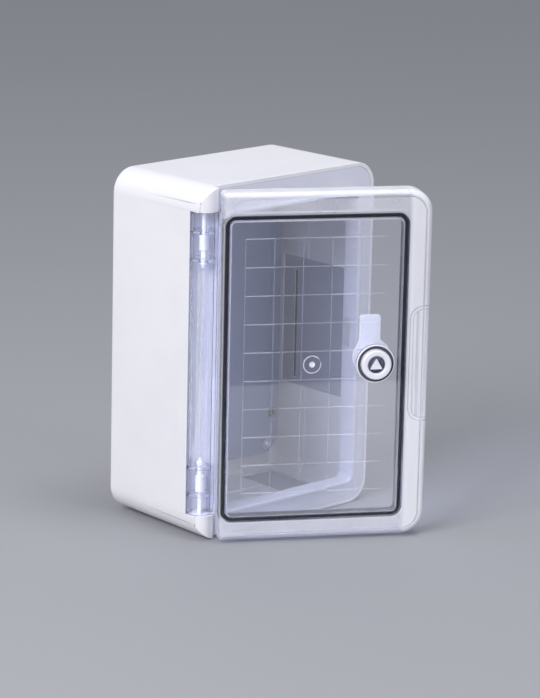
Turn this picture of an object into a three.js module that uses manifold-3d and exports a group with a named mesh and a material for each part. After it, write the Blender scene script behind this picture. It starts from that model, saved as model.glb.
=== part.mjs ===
// Hinged wall enclosure for a small dc combiner: a moulded body, a front sealing frame, a mounting plate
// and a clear door on two pull-out hinge pins, shut by a quarter-turn cam lock.
// Units are millimetres. +Z is up, the front faces -Y, and the origin is the centre of the flat back face.
import * as THREE from 'three';
import { mergeVertices } from 'three/addons/utils/BufferGeometryUtils.js';
import Module from 'manifold-3d';

const wasm = await Module();
wasm.setup();

// ---- driving dimensions -------------------------------------------------------------------------
const BODY_WIDTH = 200;
const BODY_HEIGHT = 302;
const BODY_DEPTH = 113; // back face to the plane that the frame and the side walls end on
const OVERALL_DEPTH = 130; // back face to the front of the shut door
const WALL = 3.5;
const CORNER_RADIUS = 20.5; // of the four edges that run front to back
const BACK_FILLET = 4.4;
const DRAFT = Math.tan(THREE.MathUtils.degToRad(0.9));
const GAP = 0.3; // between pieces that rest on each other

const HINGE_X = -88;
const HINGE_BEHIND_FRONT = 6;
const DOOR_REST_DEGREES = 30.74; // how far the stored door stands open
const BARREL_RADIUS = 11.5;
const BARREL_WALL = 2.3;
const TROUGH_RADIUS = 12.6; // of the frame's channel, which the barrel turns in
const BLOCK_FOOT = 130; // height where the hinge blocks end and the barrel's notch starts
const BLOCK_REACH = 5.5; // how far a block runs past the hinge axis, to the right
const BLOCK_RADIUS = 12;
const NOTCH_BEHIND_FRONT = 10;

const OPENING = { left: -71.2, right: 77.5, bottom: -129.1, top: 126.1, radius: 6 };
const COLLAR_WALL = 2.4;
const COLLAR_DEPTH = 10.6;
const FLANGE = 2.6;
const RIB_WALL = 2.2;
const RIB_HEIGHT = 5.9;

// The door's sizes run along the shut door and out of it, from the hinge axis.
const DOOR = {
  left: 12, right: 188.5, half: 148.7, back: 6.4, wall: 3, hingeWall: 2.3,
  corner: 20, fillet: 5, innerFillet: 2.5,
  front: OVERALL_DEPTH - BODY_DEPTH + HINGE_BEHIND_FRONT,
};
const CHANNEL = { gap: 1.4, wall: 1.8, end: 12 }; // the two ridges that hold the door gasket
const BARREL_SPAN = { start: -42, end: -208 }; // degrees about the hinge axis that the clear barrel covers
const TROUGH_SPAN = { start: -23, end: 150, wall: 2.4 }; // and that the frame's channel covers
const KNUCKLES = [{ z: 112.9, hole: 2.25 }, { z: 89.4, hole: 2.75 }]; // ribs in the barrel that guide a pin
const GASKET = { half: 1.25, low: 12.2, high: 16.6 };
const PULL = { inner: 174.5, half: 46.5, wall: 3, radius: 8 }; // the finger pull in the door's free side

const LOCK = { u: 142, z: 2, hole: 11.3, flange: 16.4, head: 12.6, well: 7.3, bore: 6.3, seal: 1.2 };
const CAM = { back: 0, thick: 3, reach: 36.5, width: 18.2, disc: 14.5, square: 4 };
const STRIKE = { half: 12.5, deep: 8 }; // the slot in the collar that takes the locked cam
const PLATE = { halfWidth: 85.5, halfHeight: 126, thick: 2, chamfer: 11.5, front: 14.3 };
const PLATE_SCREW = { x: 71.3, z: 118.5 };
const SCREW = { head: 3.6, shank: 1.9, hole: 2.4, washer: 4.6, washerThick: 0.8 };
const BOSS = { radius: 5, foot: 5.6, pilot: 2.15 }; // the four that the plate is screwed to
const WALL_HOLE = { x: 78, z: 90.8, radius: 3.25, access: 4.6 };
const POCKET = { deep: 0.8, start: 15, overlap: 2 }; // shallow recesses in the inside of the walls
const SIDE_POCKET = { end: 92, low: -59.5, high: 50 };
const END_POCKET = { end: 103, near: 47, far: 83 };
const WALL_STEP = { start: 38.5, high: 0.7 }; // the walls are thicker behind this distance from the back
const PIN_HOLE = { radius: 2.25, deep: 7.5 };

// ---- derived places -----------------------------------------------------------------------------
const FRONT = -BODY_DEPTH;
const HINGE_Y = FRONT + HINGE_BEHIND_FRONT;
const BLOCK_FRONT = HINGE_Y - BLOCK_RADIUS;
const BLOCK_RIGHT = HINGE_X + BLOCK_REACH;
const PLATE_FRONT = -PLATE.front;
const PLATE_BACK = PLATE_FRONT + PLATE.thick;
const ROUND = 36; // sides of a full turned piece

// ---- materials ----------------------------------------------------------------------------------
const paint = (color, roughness, metalness = 0) =>
  new THREE.MeshStandardMaterial({ color, roughness, metalness });
const shellWhite = paint(0xe7eaf3, 0.45);
const frameWhite = paint(0xd9dce8, 0.45);
const plateGrey = paint(0x9a9fb4, 0.5);
const clear = new THREE.MeshStandardMaterial({
  color: 0xdfe2ee, roughness: 0.08, metalness: 0, transparent: true, opacity: 0.35,
});
const sealBlack = paint(0x26252e, 0.8);
const pinWhite = paint(0xf2f3f8, 0.4);
const lockWhite = paint(0xe8e8f2, 0.35);
const camGrey = paint(0xd2d4e3, 0.4);
const zincSteel = paint(0xc4c6cc, 0.3, 1);

// ---- solids and booleans ------------------------------------------------------------------------
function toSolid(geometry) {
  const bare = geometry.index ? geometry.toNonIndexed() : geometry.clone();
  bare.deleteAttribute('normal');
  bare.deleteAttribute('uv');
  const merged = mergeVertices(bare, 1e-4);
  return new wasm.Manifold(new wasm.Mesh({
    numProp: 3,
    vertProperties: new Float32Array(merged.attributes.position.array),
    triVerts: new Uint32Array(merged.index.array),
  }));
}

function toGeometry(solid) {
  const mesh = solid.getMesh();
  const geometry = new THREE.BufferGeometry();
  geometry.setAttribute('position', new THREE.BufferAttribute(new Float32Array(mesh.vertProperties), 3));
  geometry.setIndex(new THREE.BufferAttribute(new Uint32Array(mesh.triVerts), 1));
  geometry.computeVertexNormals();
  return geometry;
}

const join = (...solids) => solids.reduce((whole, next) => whole.add(next));
const cut = (solid, ...tools) => tools.reduce((rest, tool) => rest.subtract(tool), solid);

// ---- outlines, as lists of [across, up] points ----------------------------------------------------
function arc(centre, radius, startDegrees, endDegrees, steps) {
  return Array.from({ length: steps + 1 }, (_, i) => {
    const turn = THREE.MathUtils.degToRad(startDegrees + ((endDegrees - startDegrees) * i) / steps);
    return [centre[0] + radius * Math.cos(turn), centre[1] + radius * Math.sin(turn)];
  });
}

// A rounded rectangle, anticlockwise from its lower right corner. leftRadius is that of the left corners.
function roundedRect({ left, right, bottom, top }, radius, leftRadius = radius, steps = 6) {
  return [
    ...arc([right - radius, bottom + radius], radius, -90, 0, steps),
    ...arc([right - radius, top - radius], radius, 0, 90, steps),
    ...arc([left + leftRadius, top - leftRadius], leftRadius, 90, 180, steps),
    ...arc([left + leftRadius, bottom + leftRadius], leftRadius, 180, 270, steps),
  ];
}

// The four places that mirror one place about both middle lines.
const corners = (x, z) => [[-x, z], [x, z], [-x, -z], [x, -z]];

// A range of distances from the middle, on the positive or the negative side.
const mirrored = ([near, far], side) => (side > 0 ? [near, far] : [-far, -near]);

const grown = (box, by) => ({
  left: box.left - by, right: box.right + by, bottom: box.bottom - by, top: box.top + by,
});

// ---- solid makers -------------------------------------------------------------------------------
// Skins a stack of matching convex outlines, each at its own place along Y, and closes both ends.
function loft(sections) {
  const count = sections[0].outline.length;
  const position = sections.flatMap(({ y, outline }) => outline.flatMap(([x, z]) => [x, y, z]));
  const index = [];
  for (let row = 0; row < sections.length - 1; row += 1) {
    for (let i = 0; i < count; i += 1) {
      const next = (i + 1) % count;
      const [a, b] = [row * count + i, row * count + next];
      const [c, d] = [a + count, b + count];
      index.push(a, b, d, a, d, c);
    }
  }
  const last = (sections.length - 1) * count;
  for (let i = 1; i < count - 1; i += 1) {
    index.push(0, i + 1, i, last, last + i, last + i + 1);
  }
  const runsBackwards = sections.at(-1).y > sections[0].y;
  if (runsBackwards) {
    for (let i = 0; i < index.length; i += 3) {
      [index[i + 1], index[i + 2]] = [index[i + 2], index[i + 1]];
    }
  }
  const geometry = new THREE.BufferGeometry();
  geometry.setAttribute('position', new THREE.Float32BufferAttribute(position, 3));
  geometry.setIndex(index);
  return toSolid(geometry);
}

const prismAlongY = (outline, yStart, yEnd) => loft([{ y: yStart, outline }, { y: yEnd, outline }]);

// An outline in X and Y, drawn out along Z.
function prismAlongZ(points, low, high) {
  const shape = new THREE.Shape(points.map(([x, y]) => new THREE.Vector2(x, y)));
  const geometry = new THREE.ExtrudeGeometry(shape, { depth: high - low, bevelEnabled: false });
  return toSolid(geometry.translate(0, 0, low));
}

function block(xRange, yRange, zRange) {
  const [width, depth, height] = [xRange, yRange, zRange].map(([low, high]) => high - low);
  const middle = [xRange, yRange, zRange].map(([low, high]) => (low + high) / 2);
  return toSolid(new THREE.BoxGeometry(width, depth, height).translate(...middle));
}

// A turned piece about Z through (x, y), from [radius, z] steps listed from bottom to top.
function turnedAlongZ(x, y, profile, sides = ROUND) {
  const closed = [[0, profile[0][1]], ...profile, [0, profile.at(-1)[1]]];
  const points = closed.map(([radius, z]) => new THREE.Vector2(radius, z));
  return toSolid(new THREE.LatheGeometry(points, sides).rotateX(Math.PI / 2).translate(x, y, 0));
}

// The same about Y through (x, z), with the steps listed from low y to high y.
function turnedAlongY(x, z, profile, sides = ROUND) {
  const closed = [[0, profile[0][1]], ...profile, [0, profile.at(-1)[1]]];
  const points = closed.map(([radius, y]) => new THREE.Vector2(radius, y));
  return toSolid(new THREE.LatheGeometry(points, sides).translate(x, 0, z));
}

const boreAlongY = (x, z, radius, [low, high], sides) =>
  turnedAlongY(x, z, [[radius, low], [radius, high]], sides);

// A bore about the hinge axis.
const boreAlongZ = (radius, [low, high], sides) =>
  turnedAlongZ(HINGE_X, HINGE_Y, [[radius, low], [radius, high]], sides);

// A frame: the space between one rounded rectangle grown by two amounts, along Y.
function ring(box, radius, inner, outer, yStart, yEnd) {
  const outside = prismAlongY(roundedRect(grown(box, outer), radius + outer), yStart, yEnd);
  return cut(outside, prismAlongY(roundedRect(grown(box, inner), radius + inner), yStart - 1, yEnd + 1));
}

const screwPlaces = corners(PLATE_SCREW.x, PLATE_SCREW.z);
const wallHolePlaces = corners(WALL_HOLE.x, WALL_HOLE.z);

// ---- enclosure body -----------------------------------------------------------------------------
const shellBox = (inset) => ({
  left: -BODY_WIDTH / 2 + inset,
  right: BODY_WIDTH / 2 - inset,
  bottom: -BODY_HEIGHT / 2 + inset,
  top: BODY_HEIGHT / 2 - inset,
});

// One section of the drafted shell: both walls close in towards the back.
function shellSection(y, inset) {
  const drawnIn = (y - FRONT) * DRAFT + inset;
  return { y, outline: roundedRect(shellBox(drawnIn), CORNER_RADIUS - inset) };
}

// Sections round the edge at the closed end, where a wall's inset grows by the fillet.
function filletSections(yEnd, inset, radius, steps) {
  return Array.from({ length: steps + 1 }, (_, i) => {
    const turn = (i / steps) * (Math.PI / 2);
    return shellSection(yEnd - radius + radius * Math.sin(turn), inset + radius * (1 - Math.cos(turn)));
  });
}

// A hinge block: it fills the corner beside the barrel, rounds about the hinge axis and holds a pin tip.
function hingeBlock(side) {
  const outline = [
    [-BODY_WIDTH / 2, FRONT + NOTCH_BEHIND_FRONT + 8],
    ...arc([HINGE_X, HINGE_Y], BLOCK_RADIUS, 180, 270, 12),
    [BLOCK_RIGHT, BLOCK_FRONT],
    [BLOCK_RIGHT, FRONT + NOTCH_BEHIND_FRONT + 8],
  ];
  const [low, high] = side > 0 ? [BLOCK_FOOT, BODY_HEIGHT / 2 + 1] : [-BODY_HEIGHT / 2 - 1, -BLOCK_FOOT];
  const corner = prismAlongY(roundedRect(shellBox(0), CORNER_RADIUS), BLOCK_FRONT - 1, -BODY_DEPTH / 2);
  return prismAlongZ(outline, low, high).intersect(corner);
}

function pinHole(side) {
  const [low, high] = mirrored([BLOCK_FOOT - 1, BLOCK_FOOT + PIN_HOLE.deep], side);
  return boreAlongZ(PIN_HOLE.radius, [low, high], 20);
}

const troughBore = () => boreAlongZ(TROUGH_RADIUS, [-BLOCK_FOOT, BLOCK_FOOT], 48);

// The space in the left wall that the door's barrel turns in.
function barrelNotch() {
  const corner = block(
    [-BODY_WIDTH, HINGE_X + 20], [FRONT - 10, FRONT + NOTCH_BEHIND_FRONT], [-BLOCK_FOOT, BLOCK_FOOT]);
  return join(corner, troughBore());
}

// A shallow recess in the inside of the left or right wall.
function sidePocket(side) {
  const inner = BODY_WIDTH / 2 - WALL - POCKET.overlap;
  return block(
    mirrored([inner, inner + POCKET.overlap + POCKET.deep], side),
    [FRONT + POCKET.start, FRONT + SIDE_POCKET.end], [SIDE_POCKET.low, SIDE_POCKET.high],
  );
}

// The same in the floor or ceiling, left or right of the middle.
function endPocket(sideX, sideZ) {
  const inner = BODY_HEIGHT / 2 - WALL - POCKET.overlap;
  return block(
    mirrored([END_POCKET.near, END_POCKET.far], sideX), [FRONT + POCKET.start, FRONT + END_POCKET.end],
    mirrored([inner, inner + POCKET.overlap + POCKET.deep], sideZ),
  );
}

// A shallow step runs round the inside of the walls, part way back.
function wallStep() {
  const inset = WALL + WALL_STEP.high;
  return cut(
    loft([shellSection(-WALL_STEP.start, WALL - 1), shellSection(-2, WALL - 1)]),
    loft([shellSection(-WALL_STEP.start - 2, inset), ...filletSections(-WALL, inset, 5, 2)]),
  );
}

function enclosureBody() {
  const outer = loft([shellSection(FRONT, 0), ...filletSections(0, 0, BACK_FILLET, 4)]);
  const cavity = loft([shellSection(FRONT - 1, WALL), ...filletSections(-WALL, WALL, 5, 2)]);
  const bosses = screwPlaces.map(([x, z]) =>
    turnedAlongY(x, z, [[BOSS.radius, PLATE_BACK + GAP], [BOSS.foot, -1]], 20));
  const pilots = screwPlaces.map(([x, z]) => boreAlongY(x, z, BOSS.pilot, [PLATE_FRONT, -3], 16));
  const wallHoles = wallHolePlaces.map(([x, z]) => boreAlongY(x, z, WALL_HOLE.radius, [-WALL - 2, 1], 20));
  const shell = join(
    cut(outer, cavity), wallStep().intersect(outer), hingeBlock(1), hingeBlock(-1), ...bosses,
  );
  return cut(
    shell, barrelNotch(), pinHole(1), pinHole(-1), sidePocket(1), sidePocket(-1),
    ...corners(1, 1).map(([sideX, sideZ]) => endPocket(sideX, sideZ)), ...pilots, ...wallHoles,
  );
}

// ---- front sealing frame --------------------------------------------------------------------------
// A channel wall about the hinge axis, measured in degrees anticlockwise from +X.
function channelWall(inner, outer, startDegrees, endDegrees, low, high) {
  const steps = 20;
  const outline = [
    ...arc([HINGE_X, HINGE_Y], outer, startDegrees, endDegrees, steps),
    ...arc([HINGE_X, HINGE_Y], inner, endDegrees, startDegrees, steps),
  ];
  return prismAlongZ(outline, low, high);
}

function frontFrame() {
  const seat = shellBox(WALL + GAP + DRAFT * 6);
  const flangeBox = { ...seat, left: BLOCK_RIGHT + GAP };
  const flangeRadius = CORNER_RADIUS - WALL;
  const outline = roundedRect(flangeBox, flangeRadius, 1.5);
  const flange = prismAlongY(outline, FRONT, FRONT + FLANGE);
  const weldSkirt = cut(
    prismAlongY(outline, FRONT, FRONT + 6),
    prismAlongY(roundedRect(grown(flangeBox, -2), flangeRadius - 2, 1.2), FRONT - 1, FRONT + 7),
    block([-BODY_WIDTH, HINGE_X + 24], [FRONT - 1, FRONT + 8], [-BLOCK_FOOT, BLOCK_FOOT]),
  );
  const collar = ring(OPENING, OPENING.radius, 0, COLLAR_WALL, FRONT, FRONT + COLLAR_DEPTH);
  const rib = ring(OPENING, OPENING.radius, 0, RIB_WALL, FRONT - RIB_HEIGHT, FRONT + 1);
  const channel = channelWall(
    TROUGH_RADIUS, TROUGH_RADIUS + TROUGH_SPAN.wall, TROUGH_SPAN.start, TROUGH_SPAN.end,
    GAP - BLOCK_FOOT, BLOCK_FOOT - GAP,
  );
  const leftWall = block([-BODY_WIDTH, WALL + 0.7 - BODY_WIDTH / 2], [FRONT, 0], [-BODY_HEIGHT, BODY_HEIGHT]);
  const hole = prismAlongY(roundedRect(OPENING, OPENING.radius), FRONT - 10, FRONT + COLLAR_DEPTH + 5);
  const strikeSlot = block(
    [OPENING.right - 1, OPENING.right + COLLAR_WALL + 1], [FRONT + FLANGE, FRONT + FLANGE + STRIKE.deep],
    [LOCK.z - STRIKE.half, LOCK.z + STRIKE.half],
  );
  return cut(join(flange, weldSkirt, collar, rib, cut(channel, leftWall)), hole, troughBore(), strikeSlot);
}

// ---- mounting plate and its screws ----------------------------------------------------------------
function mountingPlate() {
  const { halfWidth: w, halfHeight: h, chamfer: c } = PLATE;
  const outline = [
    [w - c, -h], [w, c - h], [w, h - c], [w - c, h], [c - w, h], [-w, h - c], [-w, c - h], [c - w, -h],
  ];
  const through = [PLATE_FRONT - 1, PLATE_BACK + 1];
  const screwHoles = screwPlaces.map(([x, z]) => boreAlongY(x, z, SCREW.hole, through, 16));
  const accessHoles = wallHolePlaces.map(([x, z]) => boreAlongY(x, z, WALL_HOLE.access, through, 20));
  return cut(prismAlongY(outline, PLATE_FRONT, PLATE_BACK), ...screwHoles, ...accessHoles);
}

const washerBack = PLATE_FRONT - GAP;
const washerFront = washerBack - SCREW.washerThick;

function plateWasher([x, z]) {
  const disc = turnedAlongY(x, z, [[SCREW.washer, washerFront], [SCREW.washer, washerBack]], 20);
  return cut(disc, boreAlongY(x, z, SCREW.hole - 0.1, [washerFront - 1, washerBack + 1], 16));
}

function plateScrew([x, z]) {
  const under = washerFront - GAP;
  const screw = turnedAlongY(x, z, [
    [1.6, under - 2.6], [3.0, under - 1.9], [SCREW.head, under - 0.6], [SCREW.head, under],
    [SCREW.shank, under], [SCREW.shank, -4.6], [1.0, -3.8],
  ], 16);
  const slot = block([-2.2, 2.2], [under - 3, under - 1.3], [-0.45, 0.45]);
  return cut(screw, slot.translate(x, 0, z), slot.rotate([0, 90, 0]).translate(x, 0, z));
}

// ---- door, in its own frame: x runs along the shut door from the hinge axis, -y points out ----------
const out = (distance) => -distance;
const doorBox = { left: DOOR.left, right: DOOR.right, bottom: -DOOR.half, top: DOOR.half };
const sealBox = {
  left: OPENING.left - HINGE_X - RIB_WALL / 2,
  right: OPENING.right - HINGE_X + RIB_WALL / 2,
  bottom: OPENING.bottom - RIB_WALL / 2,
  top: OPENING.top + RIB_WALL / 2,
};
const sealRadius = OPENING.radius + RIB_WALL / 2;

// One section of the door's tray, inset all round; the hinge side has small corners and may be thinner.
function traySection(distance, inset, thinner) {
  const box = grown(doorBox, -inset);
  const outline = roundedRect({ ...box, left: box.left - thinner }, DOOR.corner - inset, 2);
  return { y: out(distance), outline };
}

function trayLoft(inset, thinner, back, front, fillet) {
  const steps = 4;
  const edge = Array.from({ length: steps + 1 }, (_, i) => {
    const turn = (i / steps) * (Math.PI / 2);
    const distance = front - fillet + fillet * Math.sin(turn);
    return traySection(distance, inset + fillet * (1 - Math.cos(turn)), thinner);
  });
  return loft([traySection(back, inset, thinner), ...edge]);
}

// A thin disc with a hole, inside the barrel.
function knuckle(middle, hole) {
  const radius = BARREL_RADIUS - BARREL_WALL + 0.3;
  const disc = turnedAlongZ(0, 0, [[radius, middle - 1.4], [radius, middle + 1.4]]);
  return cut(disc, turnedAlongZ(0, 0, [[hole, middle - 2], [hole, middle + 2]], 20));
}

// The wrapped flange that turns in the frame's channel, and the web that joins it to the tray.
function hingeBarrel() {
  const reach = BLOCK_FOOT - 0.7;
  const steps = 18;
  const { start, end } = BARREL_SPAN;
  const outline = [
    ...arc([0, 0], BARREL_RADIUS, start, end, steps),
    ...arc([0, 0], BARREL_RADIUS - BARREL_WALL, end, start, steps),
  ];
  const web = block([6.9, DOOR.left + 1], [out(9.2), out(DOOR.back + 0.2)], [-reach, reach]);
  return join(prismAlongZ(outline, -reach, reach), web);
}

// The slot with round ends that fingers reach into from the door's free side.
function pullSpace(grow, depthLow, depthHigh) {
  const box = {
    left: PULL.inner - grow, right: DOOR.right + 10 + grow, bottom: -PULL.half - grow, top: PULL.half + grow,
  };
  return prismAlongY(roundedRect(box, PULL.radius + grow), out(depthLow), out(depthHigh));
}

function doorPanel() {
  const face = DOOR.front - DOOR.wall;
  const outer = trayLoft(0, 0, DOOR.back, DOOR.front, DOOR.fillet);
  const hollow = trayLoft(DOOR.wall, DOOR.wall - DOOR.hingeWall, DOOR.back - 1, face, DOOR.innerFillet);
  const sealRidges = [1, -1].map((side) => {
    const [inner, outerEdge] = mirrored([CHANNEL.gap, CHANNEL.gap + CHANNEL.wall], side);
    return ring(sealBox, sealRadius, inner, outerEdge, out(face + 0.5), out(CHANNEL.end));
  });
  const pullWall = pullSpace(PULL.wall, DOOR.back, face + 0.5).intersect(outer);
  const lockHole = boreAlongY(LOCK.u, LOCK.z, LOCK.hole, [out(DOOR.front + 2), out(face - 2)], ROUND);
  const knuckles = KNUCKLES.flatMap(({ z, hole }) => [knuckle(z, hole), knuckle(-z, hole)]);
  return cut(
    join(cut(outer, hollow), ...sealRidges, pullWall, hingeBarrel(), ...knuckles),
    pullSpace(0, DOOR.back - 2, face), lockHole,
  );
}

const doorGasket = () =>
  ring(sealBox, sealRadius, -GASKET.half, GASKET.half, out(GASKET.high), out(GASKET.low));

// A pull-out pin, listed from the knob to the tip that enters the block.
function hingePin(side) {
  const steps = [[1.4, 81.4], [2.3, 82.2], [2.3, 84.2], [3.3, 84.8], [3.3, 87.4], [2.5, 87.6], [2.5, 96.6],
    [3.9, 97], [3.9, 110.6], [3.6, 111.1], [2, 111.1], [2, 134], [1.4, 135.2]];
  const profile = side > 0 ? steps : steps.map(([radius, z]) => [radius, -z]).reverse();
  return turnedAlongZ(0, 0, profile, 20);
}

// ---- quarter-turn lock, in the door's frame --------------------------------------------------------
const lockTurned = (profile, sides) => {
  const placed = profile.map(([radius, distance]) => [radius, out(distance)]);
  return turnedAlongY(LOCK.u, LOCK.z, placed.reverse(), sides);
};
const lockBore = (radius, near, far, sides = ROUND) => lockTurned([[radius, near], [radius, far]], sides);
const sealFace = DOOR.front + GAP; // where the lock's soft ring starts
const flangeBack = sealFace + LOCK.seal + GAP;
const nutFront = DOOR.front - DOOR.wall - GAP;
const camFront = CAM.back + CAM.thick;

const lockGasket = () => cut(
  lockBore(LOCK.flange - 0.2, sealFace, sealFace + LOCK.seal),
  lockBore(LOCK.hole + 0.3, sealFace - 1, sealFace + 3),
);

function lockHousing() {
  const { flange, head } = LOCK;
  const barrel = LOCK.hole - 0.4;
  const body = lockTurned([
    [barrel - 1.1, camFront + 1], [barrel, camFront + 2], [barrel, flangeBack],
    [flange - 0.8, flangeBack], [flange, flangeBack + 0.8], [flange, flangeBack + 1.6],
    [flange - 0.6, flangeBack + 2.2], [head + 0.6, flangeBack + 2.2], [head + 0.2, flangeBack + 2.6],
    [head, flangeBack + 6], [head - 1.2, flangeBack + 7.2],
  ]);
  const keyWell = lockBore(LOCK.well, flangeBack - 1, flangeBack + 8, 24);
  return cut(body, keyWell, lockBore(LOCK.bore, camFront - 1, flangeBack + 1, 24));
}

function lockNut() {
  const [radius, thick, chamfer] = [15.2, 5, 0.6];
  const back = nutFront - thick;
  const disc = lockTurned([
    [radius - chamfer, back], [radius, back + chamfer],
    [radius, nutFront - chamfer], [radius - chamfer, nutFront],
  ]);
  const flats = Array.from({ length: 6 }, (_, i) =>
    block([13.6, 20], [-30, 30], [-20, 20]).rotate([0, 60 * i, 0]).translate(LOCK.u, 0, LOCK.z));
  return cut(disc, lockBore(LOCK.hole - 0.1, back - 2, nutFront + 2), ...flats);
}

// The rotor carries a three-sided key post in front and a square drive for the cam behind.
function lockRotor() {
  const well = flangeBack - 1;
  const stem = lockBore(LOCK.bore - 0.3, camFront + GAP, well, 24);
  const head = lockBore(LOCK.well - 0.4, well + GAP, well + 1.8, 24);
  const neck = lockBore(LOCK.bore - 0.7, well - 1, well + 1, 24);
  const apex = 6.1;
  const triangle = [90, 210, 330].map((degrees) => {
    const turn = THREE.MathUtils.degToRad(degrees);
    return [LOCK.u + apex * Math.cos(turn), LOCK.z - 0.8 + apex * Math.sin(turn)];
  });
  const post = prismAlongY(triangle, out(well + 6.8), out(well + 1));
  const drive = lockSquare(CAM.square, camFront + 2, CAM.back - 0.2);
  const thread = lockBore(1.6, CAM.back - 5, CAM.back + 4, 16);
  return cut(join(stem, neck, head, post, drive), thread);
}

// A square bar along the lock's axis.
const lockSquare = (half, near, far) =>
  block([LOCK.u - half, LOCK.u + half], [out(near), out(far)], [LOCK.z - half, LOCK.z + half]);

// The cam is a disc with two shoulders, the wider one to the right, below a straight tongue. It points up when
// the lock is open.
function lockCam() {
  const half = CAM.width / 2;
  const shoulder = Math.sqrt(CAM.disc ** 2 - half ** 2);
  const tip = CAM.reach;
  const round = 3;
  const tongue = [
    [LOCK.u + half, LOCK.z + shoulder], [LOCK.u + half, LOCK.z + tip - round],
    ...arc([LOCK.u + half - round, LOCK.z + tip - round], round, 0, 90, 5),
    ...arc([LOCK.u - half + round, LOCK.z + tip - round], round, 90, 180, 5),
    [LOCK.u - half, LOCK.z + shoulder], [LOCK.u - half, LOCK.z], [LOCK.u + half, LOCK.z],
  ];
  const shoulders = [
    [18, -3], [17.8, 4.5], [15.2, 9.8], [half, 15], [-half, 15], [-12.8, 5.5],
  ].map(([across, up]) => [LOCK.u + across, LOCK.z + up]);
  const plate = join(
    lockBore(CAM.disc, CAM.back, camFront),
    prismAlongY(tongue, out(camFront), out(CAM.back)),
    prismAlongY(shoulders, out(camFront), out(CAM.back)),
  );
  return cut(plate, lockSquare(CAM.square + 0.15, camFront + 1, CAM.back - 1));
}

const camWasher = () => cut(
  lockBore(6.5, CAM.back - GAP - 1.2, CAM.back - GAP, 24), lockBore(1.9, CAM.back - 3, CAM.back + 1, 16));

function camScrew() {
  const top = CAM.back - 2 * GAP - 1.2;
  const screw = lockTurned([
    [2.2, top - 3], [4.1, top - 2.2], [4.4, top - 1], [4.4, top], [1.45, top], [1.45, CAM.back + 3.4],
  ], 16);
  const slots = [[3, 0.5], [0.5, 3]].map(([halfWidth, halfHeight]) =>
    block([-halfWidth, halfWidth], [out(top - 1.6), out(top - 4)], [-halfHeight, halfHeight])
      .translate(LOCK.u, 0, LOCK.z));
  return cut(screw, ...slots);
}

// ---- assembly -----------------------------------------------------------------------------------
const assembly = new THREE.Group();
const door = new THREE.Group();
door.position.set(HINGE_X, HINGE_Y, 0);
door.rotation.z = -THREE.MathUtils.degToRad(DOOR_REST_DEGREES);
assembly.add(door);

function piece(parent, name, solid, material) {
  const mesh = new THREE.Mesh(toGeometry(solid), material);
  mesh.name = name;
  parent.add(mesh);
}

piece(assembly, 'enclosure_body', enclosureBody(), shellWhite);
piece(assembly, 'front_frame', frontFrame(), frameWhite);
piece(assembly, 'mounting_plate', mountingPlate(), plateGrey);
screwPlaces.forEach((place, i) => {
  piece(assembly, `plate_washer_${i + 1}`, plateWasher(place), zincSteel);
  piece(assembly, `plate_screw_${i + 1}`, plateScrew(place), zincSteel);
});

piece(door, 'door_panel', doorPanel(), clear);
piece(door, 'door_gasket', doorGasket(), sealBlack);
piece(door, 'hinge_pin_upper', hingePin(1), pinWhite);
piece(door, 'hinge_pin_lower', hingePin(-1), pinWhite);
piece(door, 'lock_gasket', lockGasket(), sealBlack);
piece(door, 'lock_housing', lockHousing(), lockWhite);
piece(door, 'lock_nut', lockNut(), lockWhite);
piece(door, 'lock_rotor', lockRotor(), lockWhite);
piece(door, 'lock_cam', lockCam(), camGrey);
piece(door, 'cam_washer', camWasher(), zincSteel);
piece(door, 'cam_screw', camScrew(), zincSteel);

export default assembly;
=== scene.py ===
"""The looks of a hinged wall enclosure for a small dc combiner.

A white moulded body holds an inner sealing frame and a grey mounting plate. A clear tray-shaped door swings
on two pull-out pins and carries a quarter-turn lock. The classes hold their sizes in millimetres; finished
meshes are in metres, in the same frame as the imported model: +Z up, the front faces -Y, the flat back lies on
y = 0.
"""
import logging
import math
from dataclasses import dataclass
from enum import Enum
from functools import cache, partial
from typing import Callable, Iterable, Protocol, Sequence

import bmesh
import bpy
from mathutils import Matrix, Vector


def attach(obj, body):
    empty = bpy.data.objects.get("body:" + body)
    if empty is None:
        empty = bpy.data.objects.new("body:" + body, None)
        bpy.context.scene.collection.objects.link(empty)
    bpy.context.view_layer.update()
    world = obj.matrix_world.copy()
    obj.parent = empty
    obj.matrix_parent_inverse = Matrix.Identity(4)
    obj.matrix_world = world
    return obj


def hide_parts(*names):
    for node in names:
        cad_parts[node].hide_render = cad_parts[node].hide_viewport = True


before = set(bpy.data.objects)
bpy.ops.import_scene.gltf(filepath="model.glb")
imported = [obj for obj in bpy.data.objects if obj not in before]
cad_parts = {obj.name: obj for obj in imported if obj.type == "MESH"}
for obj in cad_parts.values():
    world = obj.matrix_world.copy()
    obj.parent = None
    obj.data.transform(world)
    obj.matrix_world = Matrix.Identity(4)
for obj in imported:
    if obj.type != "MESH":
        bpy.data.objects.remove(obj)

MM = 0.001
SLACK = 0.1  # how far off its nominal place, in millimetres, a corner may lie when faces are chosen
Point = tuple[float, float]
Section = tuple[float, list[Point]]
Colour = tuple[float, float, float]
log = logging.getLogger("enclosure")


# ---- outlines -------------------------------------------------------------------------------------
def arc(centre: Point, radius: float, start: float, end: float, steps: int) -> list[Point]:
    """Points along a circular arc.

    Args:
        centre: Middle of the circle.
        radius: Its radius.
        start: Angle of the first point, in degrees.
        end: Angle of the last point, in degrees.
        steps: Number of straight steps between them.

    Returns:
        The points, from start to end.
    """
    turns = [math.radians(start + (end - start) * i / steps) for i in range(steps + 1)]
    return [(centre[0] + radius * math.cos(turn), centre[1] + radius * math.sin(turn)) for turn in turns]


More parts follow.
